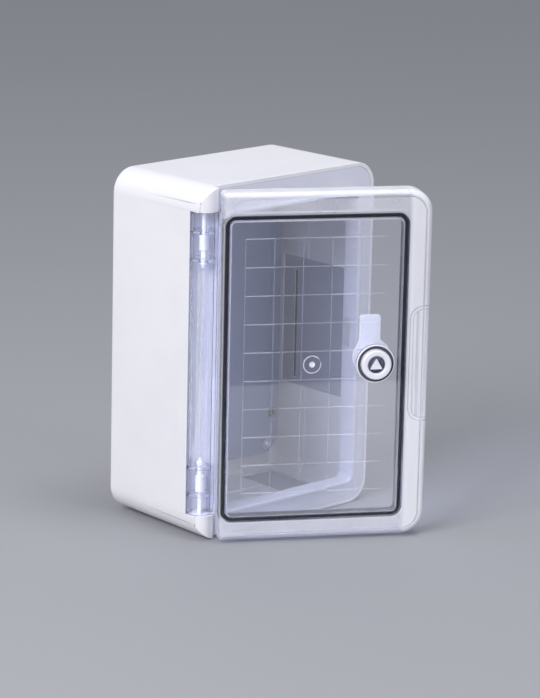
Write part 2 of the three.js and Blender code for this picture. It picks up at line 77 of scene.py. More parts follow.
def quarter_round(radius: float, steps: int) -> list[Point]:
    """Steps round an edge from its side to its face: how far along the side, and how far in from it."""
    turns = [math.pi / 2 * i / steps for i in range(steps + 1)]
    return [(radius * math.sin(turn), radius * (1 - math.cos(turn))) for turn in turns]


def evenly(start: float, pitch: float, count: int) -> list[float]:
    """Places one pitch apart."""
    return [start + pitch * i for i in range(count)]


def four_corners(x: float, z: float) -> list[Point]:
    """One place mirrored about both middle lines: upper left, upper right, lower left, lower right."""
    return [(-x, z), (x, z), (-x, -z), (x, -z)]


@dataclass(frozen=True)
class Rect:
    """An upright rectangle seen from the front."""

    left: float
    right: float
    bottom: float
    top: float

    def grown(self, by: float) -> "Rect":
        """The rectangle moved out by the same amount on all sides."""
        return Rect(self.left - by, self.right + by, self.bottom - by, self.top + by)

    def widened_left(self, by: float) -> "Rect":
        """The rectangle with its left side alone moved out."""
        return Rect(self.left - by, self.right, self.bottom, self.top)

    def outline(self, radius: float, left_radius: float | None = None, steps: int = 14) -> list[Point]:
        """The rectangle with round corners, anticlockwise from its lower right corner.

        Args:
            radius: Radius of the corners.
            left_radius: Radius of the two left corners where it differs.
            steps: Straight steps round each corner.

        Returns:
            Its points.
        """
        near = radius if left_radius is None else left_radius
        return [
            *arc((self.right - radius, self.bottom + radius), radius, -90, 0, steps),
            *arc((self.right - radius, self.top - radius), radius, 0, 90, steps),
            *arc((self.left + near, self.top - near), near, 90, 180, steps),
            *arc((self.left + near, self.bottom + near), near, 180, 270, steps),
        ]


# ---- solids ---------------------------------------------------------------------------------------
def new_object(name: str, data: bpy.types.ID) -> bpy.types.Object:
    """Puts an object with that data in the scene."""
    item = bpy.data.objects.new(name, data)
    bpy.context.scene.collection.objects.link(item)
    return item


class Solid:
    """A closed mesh in millimetres that can be joined to others and cut by them."""

    def __init__(self, mesh: bpy.types.Mesh) -> None:
        """Keeps the mesh that this solid is made of."""
        self.mesh = mesh

    @classmethod
    def from_rings(cls, rings: Sequence[Sequence[Sequence[float]]]) -> "Solid":
        """Skins a stack of matching rings of points and closes both its ends.

        Args:
            rings: The rings, each with the same number of points.

        Returns:
            The solid, with its faces pointing out.
        """
        work = bmesh.new()
        rows = [[work.verts.new(point) for point in ring] for ring in rings]
        count = len(rows[0])
        for near, far in zip(rows, rows[1:]):
            for i in range(count):
                following = (i + 1) % count
                work.faces.new((near[i], near[following], far[following], far[i]))
        work.faces.new(rows[0])
        work.faces.new(list(reversed(rows[-1])))
        bmesh.ops.remove_doubles(work, verts=work.verts, dist=1e-5)
        bmesh.ops.recalc_face_normals(work, faces=work.faces)
        mesh = bpy.data.meshes.new("solid")
        work.to_mesh(mesh)
        work.free()
        return cls(mesh)

    @classmethod
    def along_y(cls, sections: Sequence[tuple[float, Sequence[Point]]]) -> "Solid":
        """Skins outlines in X and Z, each at its own place along Y."""
        return cls.from_rings([[(x, y, z) for x, z in outline] for y, outline in sections])

    @classmethod
    def along_z(cls, outline: Sequence[Point], low: float, high: float) -> "Solid":
        """Draws an outline in X and Y out along Z."""
        return cls.from_rings([[(x, y, z) for x, y in outline] for z in (low, high)])

    @classmethod
    def block(cls, x: Point, y: Point, z: Point) -> "Solid":
        """A box between two places on each axis."""
        corners = [(x[0], z[0]), (x[1], z[0]), (x[1], z[1]), (x[0], z[1])]
        return cls.along_y([(y[0], corners), (y[1], corners)])

    @classmethod
    def turned_y(cls, centre: Point, profile: Sequence[Point], sides: int = 72) -> "Solid":
        """A turned piece about Y.

        Args:
            centre: X and Z of its axis.
            profile: Steps of (radius, y) from one end to the other.
            sides: Straight sides of the circle.

        Returns:
            The solid.
        """
        turn = 360 / sides
        return cls.along_y([(y, arc(centre, radius, 0, 360 - turn, sides - 1)) for radius, y in profile])

    @classmethod
    def turned_z(cls, centre: Point, profile: Sequence[Point], sides: int = 72) -> "Solid":
        """The same about Z: centre is X and Y of the axis, and the steps are (radius, z)."""
        turn = 360 / sides
        return cls.from_rings([
            [(x, y, z) for x, y in arc(centre, radius, 0, 360 - turn, sides - 1)] for radius, z in profile
        ])

    @classmethod
    def rod_y(cls, centre: Point, radius: float, near: float, far: float, sides: int = 72) -> "Solid":
        """A plain cylinder about Y."""
        return cls.turned_y(centre, [(radius, near), (radius, far)], sides)

    @classmethod
    def rod_z(cls, centre: Point, radius: float, low: float, high: float, sides: int = 72) -> "Solid":
        """A plain cylinder about Z."""
        return cls.turned_z(centre, [(radius, low), (radius, high)], sides)

    def _combined(self, others: Iterable["Solid"], operation: str) -> "Solid":
        """Runs one boolean operation with each of the other solids in turn.

        Args:
            others: The solids to combine with.
            operation: UNION, DIFFERENCE or INTERSECT.

        Returns:
            The new solid.
        """
        holder = new_object("work", self.mesh)
        helpers = []
        for other in others:
            helper = new_object("tool", other.mesh)
            helpers.append(helper)
            modifier = holder.modifiers.new("combine", "BOOLEAN")
            modifier.operation = operation
            modifier.solver = "MANIFOLD"
            modifier.object = helper
        result = bpy.data.meshes.new_from_object(holder.evaluated_get(bpy.context.evaluated_depsgraph_get()))
        for used in [holder, *helpers]:
            bpy.data.objects.remove(used)
        return Solid(result)

    def joined(self, *others: "Solid") -> "Solid":
        """This solid with the others added."""
        return self._combined(others, "UNION")

    def cut(self, *tools: "Solid") -> "Solid":
        """This solid with the tools taken away."""
        return self._combined(tools, "DIFFERENCE")

    def within(self, other: "Solid") -> "Solid":
        """The part of this solid that lies inside another."""
        return self._combined([other], "INTERSECT")

    def moved(self, matrix: Matrix) -> "Solid":
        """This solid placed by a matrix in millimetres."""
        mesh = self.mesh.copy()
        mesh.transform(matrix)
        return Solid(mesh)


def frame_solid(rect: Rect, radius: float, inner: float, outer: float, near: float, far: float) -> Solid:
    """A frame drawn out along Y.

    Args:
        rect: The rounded rectangle that it follows.
        radius: Radius of that rectangle's corners.
        inner: How far outside the rectangle the frame starts; negative is inside it.
        outer: How far outside it the frame ends.
        near: Y of one end.
        far: Y of the other end.

    Returns:
        The solid.
    """
    outside = Solid.along_y([(y, rect.grown(outer).outline(radius + outer)) for y in (near, far)])
    reach = 1 if far > near else -1
    hole = rect.grown(inner).outline(radius + inner)
    return outside.cut(Solid.along_y([(near - reach, hole), (far + reach, hole)]))


# ---- shared layout --------------------------------------------------------------------------------
@dataclass(frozen=True)
class Layout:
    """Sizes and places that more than one sub-assembly works from."""

    width: float = 200.0
    height: float = 302.0
    depth: float = 113.0
    corner: float = 20.5
    wall: float = 3.5
    step_high: float = 0.7
    draft: float = math.tan(math.radians(0.9))
    hinge_x: float = -88.0
    hinge_y: float = -107.0
    rest_degrees: float = 30.74
    barrel_radius: float = 11.5
    trough_radius: float = 12.6
    block_foot: float = 130.0
    block_right: float = -82.5
    opening: Rect = Rect(-71.2, 77.5, -129.1, 126.1)
    opening_radius: float = 6.0
    rib_wall: float = 2.2
    door_left: float = 12.0
    door_right: float = 188.5
    door_half: float = 148.7
    door_corner: float = 20.0
    door_front: float = 23.0
    door_wall: float = 3.0
    pull_inner: float = 174.5
    pull_half: float = 46.5
    pull_radius: float = 8.0
    lock_u: float = 142.0
    lock_z: float = 2.0
    lock_hole: float = 11.3
    plate_front: float = 14.3
    plate_thick: float = 2.0
    screw: Point = (71.3, 118.5)
    wall_hole: Point = (78.0, 90.8)

    @property
    def front(self) -> float:
        """Y of the plane that the body's walls end on."""
        return -self.depth

    @property
    def hinge(self) -> Point:
        """X and Y of the hinge axis."""
        return (self.hinge_x, self.hinge_y)

    @property
    def trough(self) -> Solid:
        """The round space between the hinge blocks that the door's barrel turns in."""
        return Solid.rod_z(self.hinge, self.trough_radius, -self.block_foot, self.block_foot, 96)

    @property
    def door_place(self) -> Matrix:
        """Places the door: x runs along it from the hinge axis and -y points out of it."""
        axis = Matrix.Translation((*self.hinge, 0))
        return axis @ Matrix.Rotation(-math.radians(self.rest_degrees), 4, "Z")

    def on_door(self, at: Vector) -> Vector:
        """A place, in millimetres, measured along, into and up the door."""
        return self.door_place.inverted() @ at

    def off_lock(self, at: Vector) -> float:
        """Distance of a place on the door from the axis of the lock."""
        return math.hypot(at.x - self.lock_u, at.z - self.lock_z)

    @property
    def lock_at(self) -> Point:
        """Place of the lock's axis along and up the door."""
        return (self.lock_u, self.lock_z)

    @property
    def door(self) -> Rect:
        """Outline of the door."""
        return Rect(self.door_left, self.door_right, -self.door_half, self.door_half)

    @property
    def door_inside(self) -> float:
        """Distance out from the hinge axis to the inner face of the door's front."""
        return self.door_front - self.door_wall

    @property
    def pull(self) -> Rect:
        """The finger pull, which runs out past the free side of the door."""
        return Rect(self.pull_inner, self.door_right + 10, -self.pull_half, self.pull_half)

    @property
    def seal(self) -> Rect:
        """Middle line of the seal, seen along the shut door from the hinge axis."""
        half = self.rib_wall / 2
        return Rect(
            self.opening.left - self.hinge_x - half, self.opening.right - self.hinge_x + half,
            self.opening.bottom - half, self.opening.top + half,
        )

    @property
    def seal_radius(self) -> float:
        """Corner radius of that line."""
        return self.opening_radius + self.rib_wall / 2

    def shell(self, inset: float) -> Rect:
        """The outline of the body, drawn in by an amount."""
        return Rect(-self.width / 2, self.width / 2, -self.height / 2, self.height / 2).grown(-inset)


# ---- shader building --------------------------------------------------------------------------------
class Value:
    """One output socket of a node, with the arithmetic that adds Math nodes."""

    def __init__(self, graph: "Graph", socket: bpy.types.NodeSocket) -> None:
        """Keeps the graph and the socket."""
        self.graph = graph
        self.socket = socket

    def _math(self, operation: str, *inputs: "Value | float") -> "Value":
        """Adds one Math node and returns its result."""
        return self.graph.node("ShaderNodeMath", {"operation": operation}, dict(enumerate(inputs)))

    def __add__(self, other: "Value | float") -> "Value":
        """The sum."""
        return self._math("ADD", self, other)

    __radd__ = __add__

    def __sub__(self, other: "Value | float") -> "Value":
        """The difference."""
        return self._math("SUBTRACT", self, other)

    def __rsub__(self, other: float) -> "Value":
        """The difference from a number."""
        return self._math("SUBTRACT", other, self)

    def __mul__(self, other: "Value | float") -> "Value":
        """The product."""
        return self._math("MULTIPLY", self, other)

    __rmul__ = __mul__

    def absolute(self) -> "Value":
        """The value without its sign."""
        return self._math("ABSOLUTE", self)

    def highest(self, other: "Value | float") -> "Value":
        """The larger of two values."""
        return self._math("MAXIMUM", self, other)

    def lowest(self, other: "Value | float") -> "Value":
        """The smaller of two values."""
        return self._math("MINIMUM", self, other)

    def rise(self, low: float, high: float) -> "Value":
        """A smooth step from 0 at low to 1 at high."""
        settings = {"interpolation_type": "SMOOTHSTEP", "clamp": True}
        inputs = {"Value": self, "From Min": low, "From Max": high}
        return self.graph.node("ShaderNodeMapRange", settings, inputs)

    def between(self, low: float, high: float, soft: float) -> "Value":
        """1 between two values and 0 outside them, with soft edges."""
        return self.rise(low - soft, low + soft) * (1 - self.rise(high - soft, high + soft))

    def root(self) -> "Value":
        """The square root."""
        return self._math("SQRT", self)


class Graph:
    """The node graph of one material."""

    def __init__(self, name: str) -> None:
        """Makes an empty material with that name."""
        self.material = bpy.data.materials.new(name)
        self.material.use_nodes = True
        self.tree = self.material.node_tree
        self.tree.nodes.clear()

    def node(
        self, kind: str, settings: dict[str, object] | None = None,
        inputs: dict[str | int, object] | None = None, output: str | int = 0,
    ) -> Value:
        """Adds one node.

        Args:
            kind: Its type.
            settings: Its own settings, which are set first.
            inputs: What each socket takes, by name or number: a Value to link or a plain value.
            output: Name or number of the output to return.

        Returns:
            That output.
        """
        made = self.tree.nodes.new(kind)
        for key, setting in (settings or {}).items():
            setattr(made, key, setting)
        for key, given in (inputs or {}).items():
            if isinstance(given, Value):
                self.tree.links.new(given.socket, made.inputs[key])
            elif isinstance(given, tuple) and made.inputs[key].type == "RGBA":
                made.inputs[key].default_value = (*given[:3], 1.0)
            else:
                made.inputs[key].default_value = given
        return Value(self, made.outputs[output])

    def place(self) -> Value:
        """The point on the piece, in metres in the shared frame."""
        return self.node("ShaderNodeTexCoord", output="Object")

    def axes(self) -> tuple[Value, Value, Value]:
        """X, Y and Z of the point, in millimetres."""
        grown = self.node("ShaderNodeVectorMath", {"operation": "SCALE"}, {0: self.place(), "Scale": 1 / MM})
        split = self.tree.nodes.new("ShaderNodeSeparateXYZ")
        self.tree.links.new(grown.socket, split.inputs[0])
        return tuple(Value(self, out) for out in split.outputs)

    def upward(self) -> Value:
        """How far the surface faces up, from -1 to 1."""
        normal = self.node("ShaderNodeNewGeometry", output="Normal")
        return self.node("ShaderNodeSeparateXYZ", {}, {0: normal}, "Z")

    def noise(self, size: float, detail: float = 2.0, stretch: Vector | None = None) -> Value:
        """Soft noise from 0 to 1.

        Args:
            size: Width of one patch, in millimetres.
            detail: Octaves of finer noise on top.
            stretch: How much the pattern is squeezed along each axis.

        Returns:
            The noise value.
        """
        where = self.place()
        if stretch is not None:
            squeeze = {0: where, 1: tuple(stretch)}
            where = self.node("ShaderNodeVectorMath", {"operation": "MULTIPLY"}, squeeze)
        inputs = {"Vector": where, "Scale": 1 / (size * MM), "Detail": detail}
        return self.node("ShaderNodeTexNoise", {}, inputs)

    def mix_colour(self, share: Value | float, first: Value | Colour, second: Value | Colour) -> Value:
        """A blend of two colours.

        Args:
            share: 0 gives the first colour and 1 the second.
            first: The first colour.
            second: The second colour.

        Returns:
            The blended colour.
        """
        made = self.tree.nodes.new("ShaderNodeMix")
        made.data_type = "RGBA"
        names = {"Factor_Float": share, "A_Color": first, "B_Color": second}
        for key, given in names.items():
            socket = next(each for each in made.inputs if each.identifier == key)
            if isinstance(given, Value):
                self.tree.links.new(given.socket, socket)
            else:
                socket.default_value = (*given, 1.0) if isinstance(given, tuple) else given
        return Value(self, next(each for each in made.outputs if each.identifier == "Result_Color"))

    def bump(
        self, height: Value, distance: float, strength: float = 1.0, under: Value | None = None,
    ) -> Value:
        """A bump from a height.

        Args:
            height: The height pattern, from 0 to 1.
            distance: What 1 stands for, in millimetres.
            strength: Share of it that shows.
            under: A bump that this one lies on.

        Returns:
            The new normal.
        """
        inputs = {"Height": height, "Distance": distance * MM, "Strength": strength}
        if under is not None:
            inputs["Normal"] = under
        return self.node("ShaderNodeBump", {}, inputs)

    def surface(self, inputs: dict[str | int, object]) -> Value:
        """A Principled shader with those inputs."""
        return self.node("ShaderNodeBsdfPrincipled", {}, inputs)

    def mix_shader(self, share: Value | float, first: Value, second: Value) -> Value:
        """A blend of two shaders."""
        return self.node("ShaderNodeMixShader", {}, {0: share, 1: first, 2: second})

    def finished(self, shader: Value) -> bpy.types.Material:
        """Sends the shader to the output and returns the material."""
        end = self.tree.nodes.new("ShaderNodeOutputMaterial")
        self.tree.links.new(shader.socket, end.inputs["Surface"])
        return self.material


# ---- finishes -------------------------------------------------------------------------------------
class Finish(Protocol):
    """What a piece can be made of."""

    slot: str

    def material(self) -> bpy.types.Material:
        """Builds the material."""


@dataclass(frozen=True)
class MouldedPlastic:
    """Opaque moulded plastic with the fine texture of a spark-eroded tool."""

    name: str
    slot: str
    colour: Colour
    shade: Colour
    roughness: float = 0.42
    grain: float = 0.55
    grain_height: float = 0.02

    @cache
    def material(self) -> bpy.types.Material:
        """Builds the material once."""
        graph = Graph(self.name)
        grain = graph.noise(self.grain, detail=3)
        cloud = graph.noise(38, detail=4)
        colour = graph.mix_colour(cloud.rise(0.35, 0.7) * 0.6 + grain * 0.25, self.colour, self.shade)
        roughness = self.roughness + (grain - 0.5) * 0.12 + (cloud - 0.5) * 0.1
        normal = graph.bump(grain, self.grain_height, under=graph.bump(graph.noise(60, detail=1), 0.25))
        return graph.finished(graph.surface({
            "Base Color": colour, "Roughness": roughness, "Normal": normal, "IOR": 1.53,
        }))


@dataclass(frozen=True)
class PowderCoat:
    """Powder coated sheet with a fine orange-peel skin."""

    name: str
    slot: str
    colour: Colour
    shade: Colour
    roughness: float = 0.45

    @cache
    def material(self) -> bpy.types.Material:
        """Builds the material once."""
        graph = Graph(self.name)
        peel = graph.noise(1.6, detail=2)
        speck = graph.noise(0.4, detail=1)
        cloud = graph.noise(55, detail=3)
        shaded = cloud.rise(0.3, 0.75) * 0.7 + speck.rise(0.6, 0.75) * 0.3
        colour = graph.mix_colour(shaded, self.colour, self.shade)
        roughness = self.roughness + (peel - 0.5) * 0.15 + (cloud - 0.5) * 0.12
        normal = graph.bump(peel, 0.03, under=graph.bump(graph.noise(80, detail=1), 0.3))
        return graph.finished(graph.surface({"Base Color": colour, "Roughness": roughness, "Normal": normal}))


@dataclass(frozen=True)
class FoamRubber:
    """Matt black foamed seal with open cells."""

    name: str
    slot: str
    colour: Colour
    shade: Colour
    cell: float = 0.5

    @cache
    def material(self) -> bpy.types.Material:
        """Builds the material once."""
        graph = Graph(self.name)
        cells = graph.node(
            "ShaderNodeTexVoronoi", {}, {"Vector": graph.place(), "Scale": 1 / (self.cell * MM)}, "Distance")
        dust = graph.noise(6, detail=4)
        colour = graph.mix_colour(cells * 0.5 + dust.rise(0.5, 0.8) * 0.5, self.colour, self.shade)
        normal = graph.bump(cells, 0.12, 0.6)
        return graph.finished(graph.surface({
            "Base Color": colour, "Roughness": 0.8 + (dust - 0.5) * 0.2, "Normal": normal,
        }))


@dataclass(frozen=True)
class ZincPlate:
    """Bright zinc plating with turning marks."""

    name: str
    slot: str
    colour: Colour
    shade: Colour

    @cache
    def material(self) -> bpy.types.Material:
        """Builds the material once."""
        graph = Graph(self.name)
        marks = graph.noise(0.5, detail=2, stretch=Vector((1, 6, 1)))
        cloud = graph.noise(3, detail=3)
        colour = graph.mix_colour(cloud, self.colour, self.shade)
        return graph.finished(graph.surface({
            "Base Color": colour, "Metallic": 1.0, "Roughness": 0.26 + marks * 0.16,
            "Normal": graph.bump(marks, 0.01),
        }))


class Zone(Enum):
    """How clear a moulding is."""

    POLISHED = 0.0
    COLUMN = 0.16
    ROW = 0.34
    # The stub of the moulding gate is drawn nearly white: a painted highlight of its small dome.
    GATE_HIGHLIGHT = 0.87


@dataclass(frozen=True)
class ClearPlastic:
    """Clear polycarbonate: polished in the window, milkier in the border outside the seal.

    Pairs of places are the start and end of a band or of a soft step, in millimetres: off the middle line of
    the seal, off the outline of the door, off the finger pull, or along the door from the hinge axis. A share
    of milk runs from 0, clear, to 1, solid white.
    """

    name: str
    slot: str
    tint: Colour
    milk: Colour
    layout: Layout
    lamp_tint: Colour = (0.81, 0.84, 0.97)
    seal_half: float = 1.9
    seal_bond: float = 0.92
    ridge: Point = (2.2, 3.1)
    ridge_milk: float = 0.28
    window_milk: float = 0.03
    line_soft: float = 0.25
    border: Point = (2.6, 3.4)
    border_along: Point = (10.0, 13.0)
    border_milk: float = 0.27
    free_side: Point = (1.0, 6.0)
    free_side_milk: float = 0.46
    crest_painted_highlight: float = 0.35
    wall_line: Point = (-6.4, -5.0)
    wall_line_along: Point = (20.0, 40.0)
    wall_line_clear: float = 0.65
    pull_lines: tuple[Point, Point] = ((-0.3, 0.5), (2.6, 3.4))
    pull_clear: float = 0.6
    barrel_along: Point = (8.0, 11.0)
    barrel_milk: Point = (0.02, 0.25)
    pins: Point = (78.0, 83.0)
    pins_clear: float = 0.85
    most_milk: float = 0.9

    def beyond(self, box: Rect, radius: float, along: Value, up: Value) -> Value:
        """Distance outside a rounded rectangle; negative inside it.

        Args:
            box: The rectangle.
            radius: Radius of its corners.
            along: Place along the door.
            up: Height on the door.

        Returns:
            The distance, in millimetres.
        """
        across = (along - (box.left + box.right) / 2).absolute() - ((box.right - box.left) / 2 - radius)
        level = (up - (box.bottom + box.top) / 2).absolute() - ((box.top - box.bottom) / 2 - radius)
        across = across.highest(0.0)
        level = level.highest(0.0)
        return (across * across + level * level).root() - radius

    def clearer_share(self, along: Value, up: Value, lines: Value) -> Value:
        """How much of the border's milk is missing: along the outer wall's line and in the finger pull.

        Args:
            along: Place along the door.
            up: Height on the door.
            lines: Fine upright flow lines, from 0 to 1.

        Returns:
            The share, from 0 to 1.
        """
        place = self.layout
        off_pull = self.beyond(place.pull, place.pull_radius, along, up)
        off_door = self.beyond(place.door, place.door_corner, along, up)
        wall = off_door.between(*self.wall_line, 0.4) * along.rise(*self.wall_line_along)
        first, second = (off_pull.between(*line, self.line_soft) for line in self.pull_lines)
        in_pull = (1 - off_pull.rise(-0.3, 0.3)) * (1 - lines.rise(0.42, 0.62))
        pull = first.highest(second).highest(in_pull)
        return (wall * self.wall_line_clear).highest(pull * self.pull_clear)

    def milk_share(self, graph: Graph, zone: Zone, along: Value, up: Value, off_seal: Value) -> Value:
        """How milky the moulding looks at a place off the seal.

        Args:
            graph: The graph of the material.
            zone: The kind of surface.
            along: Place along the door.
            up: Height on the door.
            off_seal: Distance out from the middle line of the seal.

        Returns:
            The share, from 0 to 1.
        """
        streaks = graph.noise(30, detail=3, stretch=Vector((1, 1, 0.25)))
        lines = graph.noise(3, detail=2, stretch=Vector((1, 1, 0.015)))
        free_side = along.rise(*(self.layout.seal.right + off for off in self.free_side))
        # Painted highlight: faces that turn up, such as the door's top fillet, take extra milk for the glint
        # of the lamp above.
        upward_highlight = graph.upward().rise(0.25, 0.6)
        milk = self.border_milk + free_side * self.free_side_milk + upward_highlight * self.crest_painted_highlight
        border = off_seal.rise(*self.border) * along.rise(*self.border_along)
        border = border * milk * (0.75 + streaks * 0.5) * (1 - self.clearer_share(along, up, lines))
        by_pin = up.absolute().rise(*self.pins) * self.pins_clear
        least, more = self.barrel_milk
        barrel = (1 - along.rise(*self.barrel_along)) * (least + lines.rise(0.48, 0.66) * more) * (1 - by_pin)
        ridge = off_seal.absolute().between(*self.ridge, self.line_soft) * self.ridge_milk
        return self.window_milk + zone.value + ridge + border + barrel

    @cache
    def material(self, zone: Zone = Zone.POLISHED) -> bpy.types.Material:
        """Builds the material of one kind of surface once.

        Args:
            zone: Anything but POLISHED gives raised lines, whose tool was left rough.

        Returns:
            The material.
        """
        graph = Graph(f"{self.name}_{zone.name.lower()}")
        x, y, up = graph.axes()
        row = self.layout.door_place.inverted()[0]
        along = x * row[0] + y * row[1] + row[3]
        off_seal = self.beyond(self.layout.seal, self.layout.seal_radius, along, up)
        off_bond = off_seal.absolute().rise(self.seal_half - 0.3, self.seal_half + 0.3)
        bond = (1 - off_bond) * self.seal_bond
        share = (self.milk_share(graph, zone, along, up, off_seal) * (1 - bond)).lowest(self.most_milk)
        flow = graph.noise(120, detail=2)
        ripple = graph.bump(graph.noise(0.8, detail=1), 0.002)
        ripple = graph.bump(graph.noise(90, detail=1), 0.10, under=ripple)
        body = graph.surface({
            "Base Color": self.tint, "Roughness": 0.015 + share * 0.15, "IOR": 1.49,
            "Transmission Weight": 1.0, "Normal": ripple,
        })
        bonded = graph.node("ShaderNodeBsdfTransparent", {}, {"Color": self.tint})
        lamp_ray = graph.node("ShaderNodeLightPath", output="Is Shadow Ray")
        passed = graph.node("ShaderNodeBsdfTransparent", {}, {"Color": self.lamp_tint})
        clear = graph.mix_shader(lamp_ray, graph.mix_shader(bond, body, bonded), passed)
        milk = graph.surface({
            "Base Color": graph.mix_colour(flow, self.milk, tuple(0.93 * part for part in self.milk)),
            "Roughness": 0.2 + flow * 0.1, "Normal": ripple,
        })
        return graph.finished(graph.mix_shader(share, clear, milk))


# ---- finished pieces --------------------------------------------------------------------------------
@dataclass(frozen=True)
class Edge:
    """How the sharp edges of a piece are rounded."""

    width: float = 0.3
    segments: int = 2
    angle: float = 32.0


EdgeRule = Callable[[Vector, float], float]


def mark_edges(work: bmesh.types.BMesh, edge: Edge, rule: EdgeRule | None) -> None:
    """Chooses how far each edge of a piece is rounded.

    Args:
        work: The piece, in metres.
        edge: How its edges are rounded.
        rule: Gives an edge's share of the rounding from its middle, in millimetres, and its angle; 0 keeps it
            crisp.
    """
    weights = work.edges.layers.float.new("bevel_weight_edge")
    for line in work.edges:
        if len(line.link_faces) != 2:
            continue
        angle = line.calc_face_angle()
        share = 1.0 if angle > math.radians(edge.angle) else 0.0
        if rule is not None:
            share = rule((line.verts[0].co + line.verts[1].co) / (2 * MM), angle)
        line[weights] = share
        line.smooth = share > 0 or angle < math.radians(edge.angle)


def make_piece(
    name: str, solid: Solid, finish: Finish, body: str, replaced: str, edge: Edge,
    rule: EdgeRule | None = None,
) -> bpy.types.Object:
    """Turns a solid into one finished piece of the model.

    Args:
        name: Name of the new object.
        solid: Its shape, in millimetres.
        finish: The finish that gives its material.
        body: The moving body it rides on.
        replaced: The plain node that it stands for.
        edge: How its edges are rounded.
        rule: Gives each edge's share of that rounding.

    Returns:
        The object.
    """
    mesh = solid.mesh
    mesh.name = name
    mesh.transform(Matrix.Scale(MM, 4))
    work = bmesh.new()
    work.from_mesh(mesh)
    bmesh.ops.remove_doubles(work, verts=work.verts, dist=0.01 * MM)
    bmesh.ops.dissolve_limit(work, angle_limit=math.radians(0.3), verts=work.verts, edges=work.edges)
    for face in work.faces:
        face.smooth = True
    mark_edges(work, edge, rule)
    work.to_mesh(mesh)
    work.free()
    mesh.materials.clear()
    mesh.materials.append(finish.material())
    item = new_object(name, mesh)
    bevel = item.modifiers.new("edges", "BEVEL")
    bevel.width = edge.width * MM
    bevel.segments = edge.segments
    bevel.limit_method = "WEIGHT"
    bevel.use_clamp_overlap = False
    bevel.miter_outer = "MITER_ARC"
    normals = item.modifiers.new("normals", "WEIGHTED_NORMAL")
    normals.keep_sharp = True
    normals.weight = 60
    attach(item, body)
    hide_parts(replaced)
    log.info("%s: %d faces, rides on %s", name, len(mesh.polygons), body)
    return item


PlaceRule = Callable[[Vector], bool]


def paint(
    item: bpy.types.Object, material: bpy.types.Material, chosen: PlaceRule, by_middle: bool = False,
) -> None:
    """Gives some faces of a piece another material.

    Args:
        item: The piece.
        material: The material.
        chosen: True for a place, in millimetres, that takes it.
        by_middle: True looks at the middle of each face; False at all its corners.
    """
    item.data.materials.append(material)
    number = len(item.data.materials) - 1
    corners = item.data.vertices
    painted = 0
    for face in item.data.polygons:
        places = [face.center] if by_middle else [corners[i].co for i in face.vertices]
        if all(chosen(place / MM) for place in places):
            face.material_index = number
            painted += 1
    log.info("%s: %d faces take %s", item.name, painted, material.name)


